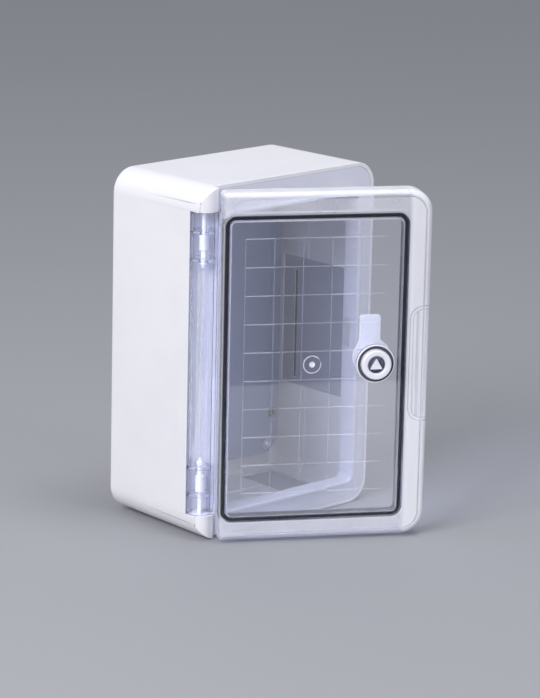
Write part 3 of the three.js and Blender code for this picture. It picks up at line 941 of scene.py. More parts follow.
# ---- enclosure body ---------------------------------------------------------------------------------
@dataclass
class EnclosureShell:
    """The moulded body: five drafted walls, two hinge blocks, plate bosses and wall-screw holes."""

    layout: Layout
    finish: MouldedPlastic
    recess_shade_finish: MouldedPlastic
    painted_shade_finish: MouldedPlastic
    back_fillet: float = 4.4
    inner_fillet: float = 5.0
    rim_round: float = 0.7
    seam_round: float = 0.12
    step_ramp: float = 0.7
    block_radius: float = 12.0
    block_edge: float = 1.6
    edge_round: float = 0.45
    notch_behind_front: float = 10.0
    notch_across: float = 20.0
    pin_hole: float = 2.25
    pin_hole_deep: float = 7.5
    boss: float = 5.0
    boss_foot: float = 5.6
    pilot: float = 2.15
    wall_hole_radius: float = 3.25
    step_start: float = 38.5
    side_recess: Point = (30.5, 105.0)
    side_recess_high: Point = (-65.0, 51.0)
    side_recess_deep: float = 1.5
    groove: Point = (88.5, 91.5)
    groove_high: Point = (-59.0, 39.0)
    groove_deep: float = 2.1
    end_recess: Point = (15.0, 103.0)
    end_recess_across: Point = (47.0, 83.0)
    end_recess_deep: float = 1.1
    tube: float = 6.4
    tube_bore: float = 4.8
    tube_front: float = 12.0

    def section(self, y: float, inset: float) -> Section:
        """One outline of the drafted shell at a distance along Y."""
        drawn_in = (y - self.layout.front) * self.layout.draft + inset
        return (y, self.layout.shell(drawn_in).outline(self.layout.corner - inset, steps=20))

    def rounded_end(self, y_end: float, inset: float, radius: float, steps: int) -> list[Section]:
        """Sections round the edge at the closed end.

        Args:
            y_end: Y of the closed end.
            inset: How far in from the outline of the body the side lies.
            radius: Radius of the rounding.
            steps: Number of straight steps round it.

        Returns:
            The sections, from the side to the end.
        """
        return [
            self.section(y_end - radius + along, inset + inwards)
            for along, inwards in quarter_round(radius, steps)
        ]

    def rounded_rim(self, inset: float, radius: float, side: int) -> list[Section]:
        """Sections round the open edge of the walls.

        Args:
            inset: How far in from the outline of the body the edge lies.
            radius: Radius of the rounding.
            side: 1 for the outer edge and -1 for the inner edge.

        Returns:
            The sections, from the front back.
        """
        behind = self.layout.front + radius
        steps = reversed(quarter_round(radius, 4))
        return [self.section(behind - along, inset + side * inwards) for along, inwards in steps]

    def walls(self) -> Solid:
        """The five walls with their step, before anything is added."""
        place = self.layout
        outer = [*self.rounded_rim(0, self.rim_round, 1), *self.rounded_end(0, 0, self.back_fillet, 8)]
        after = place.wall + place.step_high
        cavity = [
            self.section(place.front - 1, place.wall - self.seam_round),
            *self.rounded_rim(place.wall, self.seam_round, -1),
            self.section(-self.step_start - self.step_ramp, place.wall),
            self.section(-self.step_start, after),
            *self.rounded_end(-place.wall, after, self.inner_fillet, 6),
        ]
        return Solid.along_y(outer).cut(Solid.along_y(cavity))

    def hinge_block(self, side: int) -> Solid:
        """The block that fills a left corner beside the barrel and takes a pin's tip.

        Args:
            side: 1 for the upper corner and -1 for the lower.

        Returns:
            The solid.
        """
        place = self.layout
        behind = place.front + self.notch_behind_front + 8
        edge = self.block_edge
        nose = place.hinge_y - self.block_radius
        outline = [
            (-place.width / 2, behind),
            *arc(place.hinge, self.block_radius, 180, 270, 20),
            *arc((place.block_right - edge, nose + edge), edge, 270, 360, 6),
            (place.block_right, behind),
        ]
        low, high = sorted((side * place.block_foot, side * (place.height / 2 + 1)))
        corner = place.shell(0).outline(place.corner, steps=20)
        hull = Solid.along_y([(nose - 1, corner), (place.front, corner), self.section(behind + 1, 0)])
        return Solid.along_z(outline, low, high).within(hull)

    def inside(self, half: float, y: float) -> float:
        """Distance from the middle to the inside of a wall behind its step."""
        return half - self.layout.wall - self.layout.step_high - self.layout.draft * (y - self.layout.front)

    def side_recess_block(self, side: int, depths: Point, heights: Point, deep: float) -> Solid:
        """A shallow recess in the inside of the left or right wall.

        Args:
            side: -1 for the left wall and 1 for the right.
            depths: Where it starts and ends behind the front.
            heights: Where it starts and ends in height.
            deep: How far it goes into the wall.

        Returns:
            What to cut away.
        """
        low, high = heights
        sections = []
        for y in (self.layout.front + depth for depth in depths):
            face = self.inside(self.layout.width / 2, y)
            near, far = side * (face - 1), side * (face + deep)
            sections.append((y, [(near, low), (far, low), (far, high), (near, high)]))
        return Solid.along_y(sections)

    def end_recess_block(self, side: int, level: int) -> Solid:
        """The same in the floor or ceiling.

        Args:
            side: -1 to the left of the middle and 1 to the right.
            level: -1 for the floor and 1 for the ceiling.

        Returns:
            What to cut away.
        """
        left, right = (side * across for across in self.end_recess_across)
        sections = []
        for y in (self.layout.front + depth for depth in self.end_recess):
            face = self.inside(self.layout.height / 2, y)
            near, far = level * (face - 1), level * (face + self.end_recess_deep)
            sections.append((y, [(left, near), (right, near), (right, far), (left, far)]))
        return Solid.along_y(sections)

    def recesses(self) -> list[Solid]:
        """All the shallow recesses, and the groove in each side wall's."""
        made = []
        for side in (-1, 1):
            made.append(
                self.side_recess_block(side, self.side_recess, self.side_recess_high, self.side_recess_deep))
            made.append(self.side_recess_block(side, self.groove, self.groove_high, self.groove_deep))
            made += [self.end_recess_block(side, level) for level in (-1, 1)]
        return made

    # The tubes carry painted shade: their bores are drawn near-black, so the holes behind the plate's access
    # holes read dark.
    def tube_round(self, at: Point) -> Solid:
        """The short tube on the back wall round a wall-screw hole."""
        outside = Solid.turned_y(at, [(self.tube, -self.tube_front), (self.tube + 0.2, -1)], 48)
        return outside.cut(Solid.rod_y(at, self.tube_bore, -self.tube_front - 1, -self.layout.wall, 48))

    def shape(self) -> Solid:
        """The whole body."""
        place = self.layout
        plate_back = place.plate_thick - place.plate_front
        foot = place.block_foot
        screws = four_corners(*place.screw)
        hangers = four_corners(*place.wall_hole)
        bosses = [
            Solid.turned_y(at, [(self.boss, plate_back + 0.3), (self.boss_foot, -1)], 48) for at in screws
        ]
        body = self.walls().joined(
            self.hinge_block(1), self.hinge_block(-1), *bosses, *(self.tube_round(at) for at in hangers))
        notch = Solid.block(
            (-place.width, place.hinge_x + self.notch_across),
            (place.front - self.notch_behind_front, place.front + self.notch_behind_front),
            (-foot, foot))
        pin_holes = [
            Solid.rod_z(place.hinge, self.pin_hole, low, high, 32)
            for low, high in ((foot - 1, foot + self.pin_hole_deep), (-foot - self.pin_hole_deep, 1 - foot))
        ]
        pilots = [Solid.rod_y(at, self.pilot, -place.plate_front, -3, 32) for at in screws]
        wall_holes = [Solid.rod_y(at, self.wall_hole_radius, -9, 1, 48) for at in hangers]
        return body.cut(notch, place.trough, *pin_holes, *self.recesses(), *pilots, *wall_holes)

    def beside(self, at: Vector) -> float:
        """How deep a place lies in the left or right wall."""
        return abs(at.x) - self.inside(self.layout.width / 2, at.y)

    def below(self, at: Vector) -> float:
        """How deep a place lies in the floor or ceiling."""
        return abs(at.z) - self.inside(self.layout.height / 2, at.y)

    def on_side_wall(self, at: Vector) -> bool:
        """True between the heights that the side recesses reach."""
        return abs(at.z) < max(abs(high) for high in self.side_recess_high) + SLACK

    def in_recess(self, at: Vector) -> bool:
        """True for the floors of the shallow recesses."""
        left, right = self.end_recess_across
        on_side = self.on_side_wall(at) and abs(self.beside(at) - self.side_recess_deep) < SLACK
        in_end = left - SLACK < abs(at.x) < right + SLACK
        return on_side or (in_end and abs(self.below(at) - self.end_recess_deep) < SLACK)

    def in_tube(self, at: Vector) -> bool:
        """True for the inside of the tubes round the wall-screw holes."""
        x, z = self.layout.wall_hole
        return math.hypot(abs(at.x) - x, abs(at.z) - z) < self.tube_bore + SLACK / 2 and at.y < -0.5

    def in_groove(self, at: Vector) -> bool:
        """True for the bottom of the narrow groove in each side wall's recess."""
        return self.on_side_wall(at) and abs(self.beside(at) - self.groove_deep) < SLACK

    def build(self) -> None:
        """Makes the piece."""
        item = make_piece(
            "body_shell", self.shape(), self.finish, "enclosure", "enclosure_body", Edge(self.edge_round, 3))
        # Painted shade: the recesses are cut into the walls, and their floors take a darker grey for the shade
        # that falls in them.
        paint(item, self.recess_shade_finish.material(), self.in_recess)
        # Painted shade: the tube bores and the floors of the narrow grooves are drawn near-black.
        paint(item, self.painted_shade_finish.material(), lambda at: self.in_tube(at) or self.in_groove(at))


# ---- sealing frame ----------------------------------------------------------------------------------
@dataclass
class SealingFrame:
    """The frame in the mouth of the body: flange, collar, the rib under the door's seal, hinge channel."""

    layout: Layout
    finish: MouldedPlastic
    flange: float = 2.6
    skirt: float = 6.0
    skirt_wall: float = 2.0
    skirt_notch: float = 24.0
    hinge_corner: float = 1.5
    collar_wall: float = 2.4
    collar_depth: float = 10.6
    rib_height: float = 5.9
    channel_wall: float = 2.4
    channel_start: float = -23.0
    channel_end: float = 150.0
    strike_half: float = 12.5
    strike_deep: float = 8.0
    gap: float = 0.06

    def channel(self) -> Solid:
        """The trough about the hinge axis that the door's barrel turns in."""
        place = self.layout
        inner, outer = place.trough_radius, place.trough_radius + self.channel_wall
        outline = [
            *arc(place.hinge, outer, self.channel_start, self.channel_end, 44),
            *arc(place.hinge, inner, self.channel_end, self.channel_start, 44),
        ]
        reach = place.block_foot - self.gap
        face = place.wall + place.step_high - place.width / 2
        left_wall = Solid.block((-place.width, face), (place.front, 0), (-place.height, place.height))
        return Solid.along_z(outline, -reach, reach).cut(left_wall)

    def shape(self) -> Solid:
        """The whole frame."""
        place = self.layout
        front = place.front
        seat = place.shell(place.wall + self.gap + place.draft * self.skirt)
        face = Rect(place.block_right + self.gap, seat.right, seat.bottom, seat.top)
        radius = place.corner - place.wall
        outline = face.outline(radius, self.hinge_corner, 20)
        flange = Solid.along_y([(front, outline), (front + self.flange, outline)])
        inner = face.grown(-self.skirt_wall).outline(radius - self.skirt_wall, self.hinge_corner - 0.3, 20)
        skirt = Solid.along_y([(front, outline), (front + self.skirt, outline)]).cut(
            Solid.along_y([(front - 1, inner), (front + self.skirt + 1, inner)]),
            Solid.block(
                (-place.width, place.hinge_x + self.skirt_notch), (front - 1, front + self.skirt + 2),
                (-place.block_foot, place.block_foot)),
        )
        hole_radius = place.opening_radius
        collar_end = front + self.collar_depth
        collar = frame_solid(place.opening, hole_radius, 0, self.collar_wall, front, collar_end)
        rib = frame_solid(place.opening, hole_radius, 0, place.rib_wall, front - self.rib_height, front + 1)
        hole = place.opening.outline(hole_radius)
        slot = Solid.block(
            (place.opening.right - 1, place.opening.right + self.collar_wall + 1),
            (front + self.flange, front + self.flange + self.strike_deep),
            (place.lock_z - self.strike_half, place.lock_z + self.strike_half))
        return flange.joined(skirt, collar, rib, self.channel()).cut(
            Solid.along_y([(front - 10, hole), (collar_end + 5, hole)]), place.trough, slot)

    def build(self) -> None:
        """Makes the piece."""
        make_piece("sealing_frame", self.shape(), self.finish, "enclosure", "front_frame", Edge(0.35, 3))


# ---- mounting plate ---------------------------------------------------------------------------------
@dataclass
class PlateGroup:
    """The mounting plate with its four screws and washers."""

    layout: Layout
    coat: PowderCoat
    zinc: ZincPlate
    half_width: float = 85.5
    half_height: float = 126.0
    chamfer: float = 11.5
    access: float = 4.6
    screw_hole: float = 2.4
    washer: float = 4.6
    washer_hole: float = 2.3
    washer_thick: float = 0.8
    head: float = 3.6
    slot: Point = (2.1, 0.4)
    gap: float = 0.3

    def plate(self) -> Solid:
        """The plate with its cut corners and holes."""
        w, h, c = self.half_width, self.half_height, self.chamfer
        outline = [
            (w - c, -h), (w, c - h), (w, h - c), (w - c, h),
            (c - w, h), (-w, h - c), (-w, c - h), (c - w, -h),
        ]
        front = -self.layout.plate_front
        back = front + self.layout.plate_thick
        holes = [(at, self.screw_hole) for at in four_corners(*self.layout.screw)]
        holes += [(at, self.access) for at in four_corners(*self.layout.wall_hole)]
        bores = [Solid.rod_y(at, radius, front - 1, back + 1, 48) for at, radius in holes]
        return Solid.along_y([(front, outline), (back, outline)]).cut(*bores)

    def screw(self, at: Point) -> Solid:
        """A pan-head screw with a cross recess.

        Args:
            at: X and Z of its axis.

        Returns:
            The solid.
        """
        seat = -self.layout.plate_front - 2 * self.gap - self.washer_thick
        profile = [
            (0.4, seat - 2.75), (1.2, seat - 2.7), (2.1, seat - 2.45), (2.9, seat - 1.95), (3.4, seat - 1.2),
            (self.head, seat - 0.5), (self.head, seat), (1.9, seat), (1.9, -4.6), (1.0, -3.8),
        ]
        body = Solid.turned_y(at, profile, 48)
        tools = []
        for w, h in (self.slot, self.slot[::-1]):
            near = [(-w, -h), (w, -h), (w, h), (-w, h)]
            far = [(0.45 * x, 0.45 * z) for x, z in near]
            tool = Solid.along_y([(seat - 3.2, near), (seat - 0.9, far)])
            tools.append(tool.moved(Matrix.Translation((at[0], 0, at[1]))))
        return body.cut(*tools)

    def washer_ring(self, at: Point) -> Solid:
        """The flat washer under a screw's head."""
        back = -self.layout.plate_front - self.gap
        front = back - self.washer_thick
        hole = Solid.rod_y(at, self.washer_hole, front - 1, back + 1, 32)
        return Solid.rod_y(at, self.washer, front, back, 48).cut(hole)

    def build(self) -> None:
        """Makes the pieces."""
        make_piece("plate", self.plate(), self.coat, "enclosure", "mounting_plate", Edge(0.25, 2))
        for number, at in enumerate(four_corners(*self.layout.screw), 1):
            for name, solid, edge in (
                ("washer", self.washer_ring(at), Edge(0.12, 2)), ("screw", self.screw(at), Edge(0.12, 2, 50)),
            ):
                make_piece(f"{name}_{number}", solid, self.zinc, "enclosure", f"plate_{name}_{number}", edge)


# ---- door -------------------------------------------------------------------------------------------
@dataclass
class ClearDoor:
    """The clear tray with its hinge barrel, seal channel, finger pull and moulded grid, and the seal."""

    layout: Layout
    clear: ClearPlastic
    foam: FoamRubber
    back: float = 6.4
    hinge_wall: float = 2.3
    hinge_corner: float = 3.5
    fillet: float = 5.0
    inner_fillet: float = 2.5
    barrel_wall: float = 2.3
    barrel_turn: Point = (-42.0, -208.0)
    barrel_gap: float = 0.7
    web: Point = (6.9, 9.2)
    channel_gap: float = 1.75
    channel_wall: float = 1.6
    channel_end: float = 12.0
    seal_half: float = 1.7
    seal_low: float = 12.2
    seal_high: float = 19.85
    pull_wall: float = 3.0
    knuckles: tuple[Point, Point] = ((112.9, 2.25), (89.4, 2.75))
    knuckle_half: float = 1.4
    grid_columns: tuple[float, float, int] = (30.9, 24.43, 5)
    grid_rows: tuple[float, float, int] = (-108.0, 24.18, 10)
    column_line: float = 0.6
    row_line: float = 0.9
    grid_high: float = 0.2
    gate_highlight: Point = (89.1, 1.6)
    gate_ring: Point = (7.0, 7.6)
    gate_stub: float = 2.6

    def section(self, out: float, inset: float, thinner: float) -> Section:
        """One outline of the tray at a distance out from the hinge axis."""
        box = self.layout.door.grown(-inset).widened_left(thinner)
        left_radius = max(2.0, self.hinge_corner - inset)
        return (-out, box.outline(self.layout.door_corner - inset, left_radius, 20))

    def tray(self, inset: float, thinner: float, back: float, front: float, fillet: float) -> Solid:
        """A block of the tray's outline: the outside of the tray, or the hollow in it.

        Args:
            inset: How far in from the door's outline its sides lie.
            thinner: How much further out its hinge side lies.
            back: Distance out from the hinge axis to its back.
            front: Distance out to its front.
            fillet: Radius of the edge round its front.

        Returns:
            The solid.
        """
        edge = [
            self.section(front - fillet + along, inset + inwards, thinner)
            for along, inwards in quarter_round(fillet, 8)
        ]
        return Solid.along_y([self.section(back, inset, thinner), *edge])

    def barrel(self) -> list[Solid]:
        """The wrapped flange that turns in the frame's channel, and the web that joins it to the tray."""
        reach = self.layout.block_foot - self.barrel_gap
        outer = self.layout.barrel_radius
        inner = outer - self.barrel_wall
        start, end = self.barrel_turn
        outline = [*arc((0, 0), outer, start, end, 44), *arc((0, 0), inner, end, start, 44)]
        left, out = self.web
        web = Solid.block((left, self.layout.door_left + 1), (-out, -self.back - 0.2), (-reach, reach))
        return [Solid.along_z(outline, -reach, reach), web]

    def knuckle(self, middle: float, hole: float) -> Solid:
        """A thin disc inside the barrel that guides a pin.

        Args:
            middle: Height of its middle.
            hole: Radius of the hole for the pin.

        Returns:
            The solid.
        """
        radius = self.layout.barrel_radius - self.barrel_wall + 0.3
        disc = Solid.rod_z((0, 0), radius, middle - self.knuckle_half, middle + self.knuckle_half)
        return disc.cut(Solid.rod_z((0, 0), hole, middle - 2, middle + 2, 32))

    def pull_space(self, grow: float, near: float, far: float) -> Solid:
        """The slot with round ends that fingers reach into from the free side."""
        outline = self.layout.pull.grown(grow).outline(self.layout.pull_radius + grow)
        return Solid.along_y([(-near, outline), (-far, outline)])

    def grid(self, face: float) -> list[Solid]:
        """Fine raised lines on the inside of the window, with the ring and the stub of the moulding gate.

        Args:
            face: Distance out from the hinge axis to the face they stand on.

        Returns:
            The solids to add to the moulding.
        """
        thin, thick = self.column_line / 2, self.row_line / 2
        top, foot = self.grid_high - face, -face - 0.2
        columns = evenly(*self.grid_columns)
        rows = evenly(*self.grid_rows)
        high = (rows[0] - thick, rows[-1] + thick)
        across = (columns[0] - thin, self.layout.lock_u + 8)
        lines = [Solid.block((u - thin, u + thin), (top, foot), high) for u in columns]
        lines += [Solid.block(across, (top, foot), (z - thick, z + thick)) for z in rows]
        inner, outer = self.gate_ring
        ring = Solid.rod_y(self.gate_highlight, outer, top, foot).cut(Solid.rod_y(self.gate_highlight, inner, top + 1, foot - 1))
        stub = self.gate_stub
        middle = Solid.turned_y(self.gate_highlight, [(stub - 0.6, top + 0.3), (stub - 0.2, top), (stub, foot)], 48)
        return [*lines, ring, middle]

    def panel(self) -> Solid:
        """The whole clear moulding."""
        place = self.layout
        face = place.door_inside
        outer = self.tray(0, 0, self.back, place.door_front, self.fillet)
        thinner = place.door_wall - self.hinge_wall
        hollow = self.tray(place.door_wall, thinner, self.back - 1, face, self.inner_fillet)
        near, far = self.channel_gap, self.channel_gap + self.channel_wall
        ridges = [
            frame_solid(place.seal, place.seal_radius, low, high, -face - 0.5, -self.channel_end)
            for low, high in ((near, far), (-far, -near))
        ]
        pull_wall = self.pull_space(self.pull_wall, self.back, face + 0.5).within(outer)
        lock_hole = Solid.rod_y(place.lock_at, place.lock_hole, -place.door_front - 2, 2 - face)
        knuckles = [self.knuckle(side * z, hole) for z, hole in self.knuckles for side in (-1, 1)]
        shell = outer.cut(hollow).joined(*ridges, pull_wall, *self.barrel(), *knuckles, *self.grid(face))
        return shell.cut(self.pull_space(0, self.back - 2, face), lock_hole)

    def in_grid(self, at: Vector) -> bool:
        """Tells where the grid lines and the gate mark are.

        Args:
            at: A place, in millimetres.

        Returns:
            True on them or at their foot.
        """
        local = self.layout.on_door(at)
        window = self.layout.seal.grown(-self.channel_gap - self.channel_wall + SLACK)
        inside = window.left < local.x < window.right and window.bottom < local.z < window.top
        near_lock = self.layout.off_lock(local) < self.layout.lock_hole + 0.5
        above = self.layout.door_inside + local.y
        return inside and not near_lock and -SLACK < above < 3 * self.grid_high

    def edge_rule(self, at: Vector, angle: float) -> float:
        """Share of the rounding: none along the fine grid."""
        return 1.0 if angle > math.radians(Edge.angle) and not self.in_grid(at) else 0.0

    def raised(self, at: Vector, zone: Zone) -> bool:
        """Tells the kinds of raised line apart.

        Args:
            at: The middle of a face, in millimetres.
            zone: The kind of line.

        Returns:
            True on a face of that kind.
        """
        local = self.layout.on_door(at)
        if not self.in_grid(at) or self.layout.door_inside + local.y < SLACK / 2:
            return False
        if math.hypot(local.x - self.gate_highlight[0], local.z - self.gate_highlight[1]) < self.gate_stub + SLACK:
            return zone is Zone.GATE_HIGHLIGHT
        off_row = min(abs(local.z - row) for row in evenly(*self.grid_rows))
        return zone is (Zone.ROW if off_row < (self.row_line + SLACK) / 2 else Zone.COLUMN)

    def build(self) -> None:
        """Makes the pieces."""
        place = self.layout
        panel = self.panel().moved(place.door_place)
        item = make_piece("door_tray", panel, self.clear, "door", "door_panel", Edge(0.4, 3), self.edge_rule)
        # The gate stub takes the near-white painted highlight.
        for zone in (Zone.COLUMN, Zone.ROW, Zone.GATE_HIGHLIGHT):
            paint(item, self.clear.material(zone), partial(self.raised, zone=zone), by_middle=True)
        half = self.seal_half
        seal = frame_solid(place.seal, place.seal_radius, -half, half, -self.seal_high, -self.seal_low)
        make_piece("door_seal", seal.moved(place.door_place), self.foam, "door", "door_gasket", Edge(0.5, 3))


# ---- hinge pins -------------------------------------------------------------------------------------
@dataclass
class HingePins:
    """The two white pins that pull out of the blocks, so that the door lifts off."""

    layout: Layout
    finish: MouldedPlastic
    profile: tuple[Point, ...] = (
        (1.0, 81.4), (1.4, 81.5), (2.2, 82.2), (2.3, 82.6), (2.3, 83.9), (2.5, 84.3), (3.1, 84.6),
        (3.3, 85.0), (3.3, 87.1), (3.1, 87.5), (2.5, 87.7), (2.5, 96.5), (2.7, 96.8), (3.6, 97.0),
        (3.9, 97.4), (3.9, 110.4), (3.7, 110.9), (3.3, 111.1), (2.1, 111.2), (2.0, 111.5), (2.0, 133.8),
        (1.8, 134.7), (1.4, 135.2),
    )

    def build(self) -> None:
        """Makes the pieces."""
        for name, side in (("upper", 1), ("lower", -1)):
            steps = [(radius, side * z) for radius, z in self.profile]
            pin = Solid.turned_z((0, 0), steps, 64).moved(self.layout.door_place)
            edge = Edge(0.15, 2, 40)
            make_piece(f"pin_{name}", pin, self.finish, f"{name}_pin", f"hinge_pin_{name}", edge)


# ---- quarter-turn lock --------------------------------------------------------------------------------
@dataclass
class QuarterTurnLock:
    """The round lock with its soft ring, nut, three-sided key post and the cam behind the door."""

    layout: Layout
    plastic: MouldedPlastic
    well_painted_shade: MouldedPlastic
    groove_painted_shade: MouldedPlastic
    cam_plastic: MouldedPlastic
    foam: FoamRubber
    zinc: ZincPlate
    gap: float = 0.3
    flange: float = 16.4
    head: float = 12.6
    well: float = 7.3
    bore: float = 6.3
    seal: float = 1.2
    cam_back: float = 0.0
    cam_thick: float = 3.0
    cam_reach: float = 36.5
    cam_width: float = 18.2
    cam_disc: float = 14.5
    cam_corner: float = 3.0
    square: float = 4.0
    post_apex: float = 6.1
    post_high: float = 6.8
    post_drop: float = 0.8
    nut: float = 15.2
    nut_thick: float = 5.0
    nut_edge: float = 0.6
    nut_flat: float = 13.6
    washer: float = 6.5
    washer_hole: float = 1.9
    washer_thick: float = 1.2
    slot: Point = (2.7, 0.5)

    @property
    def flange_back(self) -> float:
        """Distance out to the back of the lock's flange."""
        return self.layout.door_front + 2 * self.gap + self.seal

    @property
    def cam_front(self) -> float:
        """Distance out to the front of the cam."""
        return self.cam_back + self.cam_thick

    def turned(self, profile: Sequence[Point], sides: int = 96) -> Solid:
        """A turned piece of the lock, from (radius, distance out) steps."""
        return Solid.turned_y(self.layout.lock_at, [(radius, -out) for radius, out in profile], sides)

    def bored(self, radius: float, near: float, far: float, sides: int = 96) -> Solid:
        """A plain cylinder of the lock."""
        return Solid.rod_y(self.layout.lock_at, radius, -near, -far, sides)

    def square_bar(self, half: float, near: float, far: float) -> Solid:
        """A square bar along the lock's axis."""
        u, z = self.layout.lock_at
        return Solid.block((u - half, u + half), (-near, -far), (z - half, z + half))

    def housing(self) -> Solid:
        """The round body with its flange and ring head."""
        base = self.flange_back
        barrel = self.layout.lock_hole - 0.4
        flange, head, well = self.flange, self.head, self.well
        body = self.turned([
            (barrel - 1.1, self.cam_front + 1), (barrel, self.cam_front + 2), (barrel, base),
            (flange - 0.6, base), (flange - 0.2, base + 0.25), (flange, base + 0.7), (flange, base + 1.4),
            (flange - 0.2, base + 1.9), (flange - 0.7, base + 2.2), (flange - 1.1, base + 2.2),
            (flange - 1.3, base + 0.6), (head, base + 0.6), (head, base + 5.6), (head - 0.25, base + 6.4),
            (head - 0.8, base + 7.0), (head - 1.5, base + 7.2), (well + 1.6, base + 7.2),
            (well + 0.9, base + 6.9), (well + 0.5, base + 6.2), (well + 0.4, base + 5.4),
        ])
        bore = self.bored(self.bore, self.cam_front - 1, base + 1)
        return body.cut(self.bored(well, base - 1, base + 8), bore)

    def from_axis(self, at: Vector) -> Point:
        """Distance of a place from the lock's axis, and how far out from the back of the flange it lies."""
        local = self.layout.on_door(at)
        return (self.layout.off_lock(local), -local.y - self.flange_back)

    def in_groove(self, at: Vector) -> bool:
        """True for the floor and the sides of the groove round the ring head."""
        radius, out = self.from_axis(at)
        return self.head - SLACK < radius < self.flange - 1.0 and 0.5 < out < 2.3

    def in_well(self, at: Vector) -> bool:
        """True for the wall of the key well."""
        radius, out = self.from_axis(at)
        return radius < self.well + SLACK and out > -1.1

    def on_post(self, at: Vector) -> bool:
        """True for the three-sided key post."""
        return self.from_axis(at)[1] > 1.0

    def ring_nut(self) -> Solid:
        """The round nut with six flats that holds the lock from behind."""
        radius, edge = self.nut, self.nut_edge
        front = self.layout.door_inside - self.gap
        back = front - self.nut_thick
        disc = self.turned([
            (radius - edge, back), (radius, back + edge), (radius, front - edge), (radius - edge, front),
        ])
        at = Matrix.Translation((self.layout.lock_u, 0, self.layout.lock_z))
        flats = [
            Solid.block((self.nut_flat, 20), (-30, 30), (-20, 20)).moved(
                at @ Matrix.Rotation(math.radians(60 * i), 4, "Y"))
            for i in range(6)
        ]
        return disc.cut(self.bored(self.layout.lock_hole - 0.1, back - 2, front + 2), *flats)

    def rotor(self) -> Solid:
        """The turning insert: a three-sided key post in front and a square drive behind."""
        floor = self.flange_back - 1
        u, z = self.layout.lock_at
        corners = arc((u, z - self.post_drop), self.post_apex, 90, 330, 2)
        stem = self.bored(self.bore - 0.3, self.cam_front + self.gap, floor)
        neck = self.bored(self.bore - 0.7, floor - 1, floor + 1)
        disc = self.bored(self.well - 0.4, floor + self.gap, floor + 1.8)
        post = Solid.along_y([(-floor - self.post_high, corners), (-floor - 1, corners)])
        drive = self.square_bar(self.square, self.cam_front + 2, self.cam_back - 0.2)
        thread = self.bored(1.6, self.cam_back - 5, self.cam_back + 4, 32)
        return stem.joined(neck, disc, post, drive).cut(thread)

    def cam(self) -> Solid:
        """The disc that flares into a straight tongue behind the door."""
        u, z = self.layout.lock_at
        half, corner = self.cam_width / 2, self.cam_corner
        tip = z + self.cam_reach - corner
        tongue = [
            (u + half, z), *arc((u + half - corner, tip), corner, 0, 90, 10),
            *arc((u - half + corner, tip), corner, 90, 180, 10), (u - half, z),
        ]
        shoulders = [
            (u + 18, z - 3), (u + 17.8, z + 4.5), (u + 15.2, z + 9.8), (u + half, z + 15),
            (u - half, z + 15), (u - 12.8, z + 5.5),
        ]
        flat_parts = [
            Solid.along_y([(-self.cam_front, outline), (-self.cam_back, outline)])
            for outline in (tongue, shoulders)
        ]
        plate = self.bored(self.cam_disc, self.cam_back, self.cam_front).joined(*flat_parts)
        return plate.cut(self.square_bar(self.square + 0.15, self.cam_front + 1, self.cam_back - 1))

    def cam_screw(self) -> Solid:
        """The cross-recess screw that holds the cam."""
        top = self.cam_back - 2 * self.gap - self.washer_thick
        screw = self.turned([
            (1.2, top - 3.1), (2.6, top - 2.9), (3.7, top - 2.3), (4.3, top - 1.3), (4.4, top - 0.7),
            (4.4, top), (1.45, top), (1.45, self.cam_back + 3.4),
        ], 48)
        u, z = self.layout.lock_at
        slots = [
            Solid.block((u - w, u + w), (4 - top, 1.6 - top), (z - h, z + h))
            for w, h in (self.slot, self.slot[::-1])
        ]
        return screw.cut(*slots)

    def build(self) -> None:
        """Makes the pieces."""
        place = self.layout
        face = place.door_front + self.gap
        ring = self.bored(self.flange - 0.2, face, face + self.seal).cut(
            self.bored(place.lock_hole + 0.3, face - 1, face + 3))
        washer_front = self.cam_back - self.gap
        washer = self.bored(self.washer, washer_front - self.washer_thick, washer_front, 64).cut(
            self.bored(self.washer_hole, self.cam_back - 3, self.cam_back + 1, 32))
        parts = (
            ("lock_seal", ring, self.foam, "door", "lock_gasket", Edge(0.25, 2)),
            ("lock_body", self.housing(), self.plastic, "door", "lock_housing", Edge(0.12, 2, 50)),
            ("lock_ring_nut", self.ring_nut(), self.plastic, "door", "lock_nut", Edge(0.3, 2)),
            ("lock_insert", self.rotor(), self.well_painted_shade, "lock_cam_set", "lock_rotor", Edge(0.4, 3)),
            ("lock_tongue", self.cam(), self.cam_plastic, "lock_cam_set", "lock_cam", Edge(0.5, 3)),
            ("tongue_washer", washer, self.zinc, "lock_cam_set", "cam_washer", Edge(0.15, 2)),
            ("tongue_screw", self.cam_screw(), self.zinc, "lock_cam_set", "cam_screw", Edge(0.15, 2, 50)),
        )
        made = {
            name: make_piece(name, solid.moved(place.door_place), finish, body, node, edge)
            for name, solid, finish, body, node, edge in parts
        }
        # Painted shade: the groove round the ring head is drawn near-black.
        paint(made["lock_body"], self.groove_painted_shade.material(), self.in_groove)
        # Painted shade: the wall of the key well, and the insert apart from its key post, are drawn dark grey
        # for the shade down in the well.
        paint(made["lock_body"], self.well_painted_shade.material(), self.in_well)
        paint(made["lock_insert"], self.plastic.material(), self.on_post, by_middle=True)


# ---- studio -----------------------------------------------------------------------------------------
@dataclass(frozen=True)
class SoftBox:
    """A large flat lamp."""

    name: str
    place: tuple[float, float, float]
    size: Point
    power: float
    colour: Colour

    def lit(self, matrix: Matrix) -> bpy.types.Object:
        """Makes the lamp.

        Args:
            matrix: Places it, in metres; its light goes along -Z.

        Returns:
            The lamp.
        """
        data = bpy.data.lights.new(self.name, "AREA")
        data.shape = "RECTANGLE"
        data.size, data.size_y = self.size
        data.energy = self.power
        data.color = self.colour
        holder = new_object(self.name, data)
        holder.matrix_world = matrix
        return holder


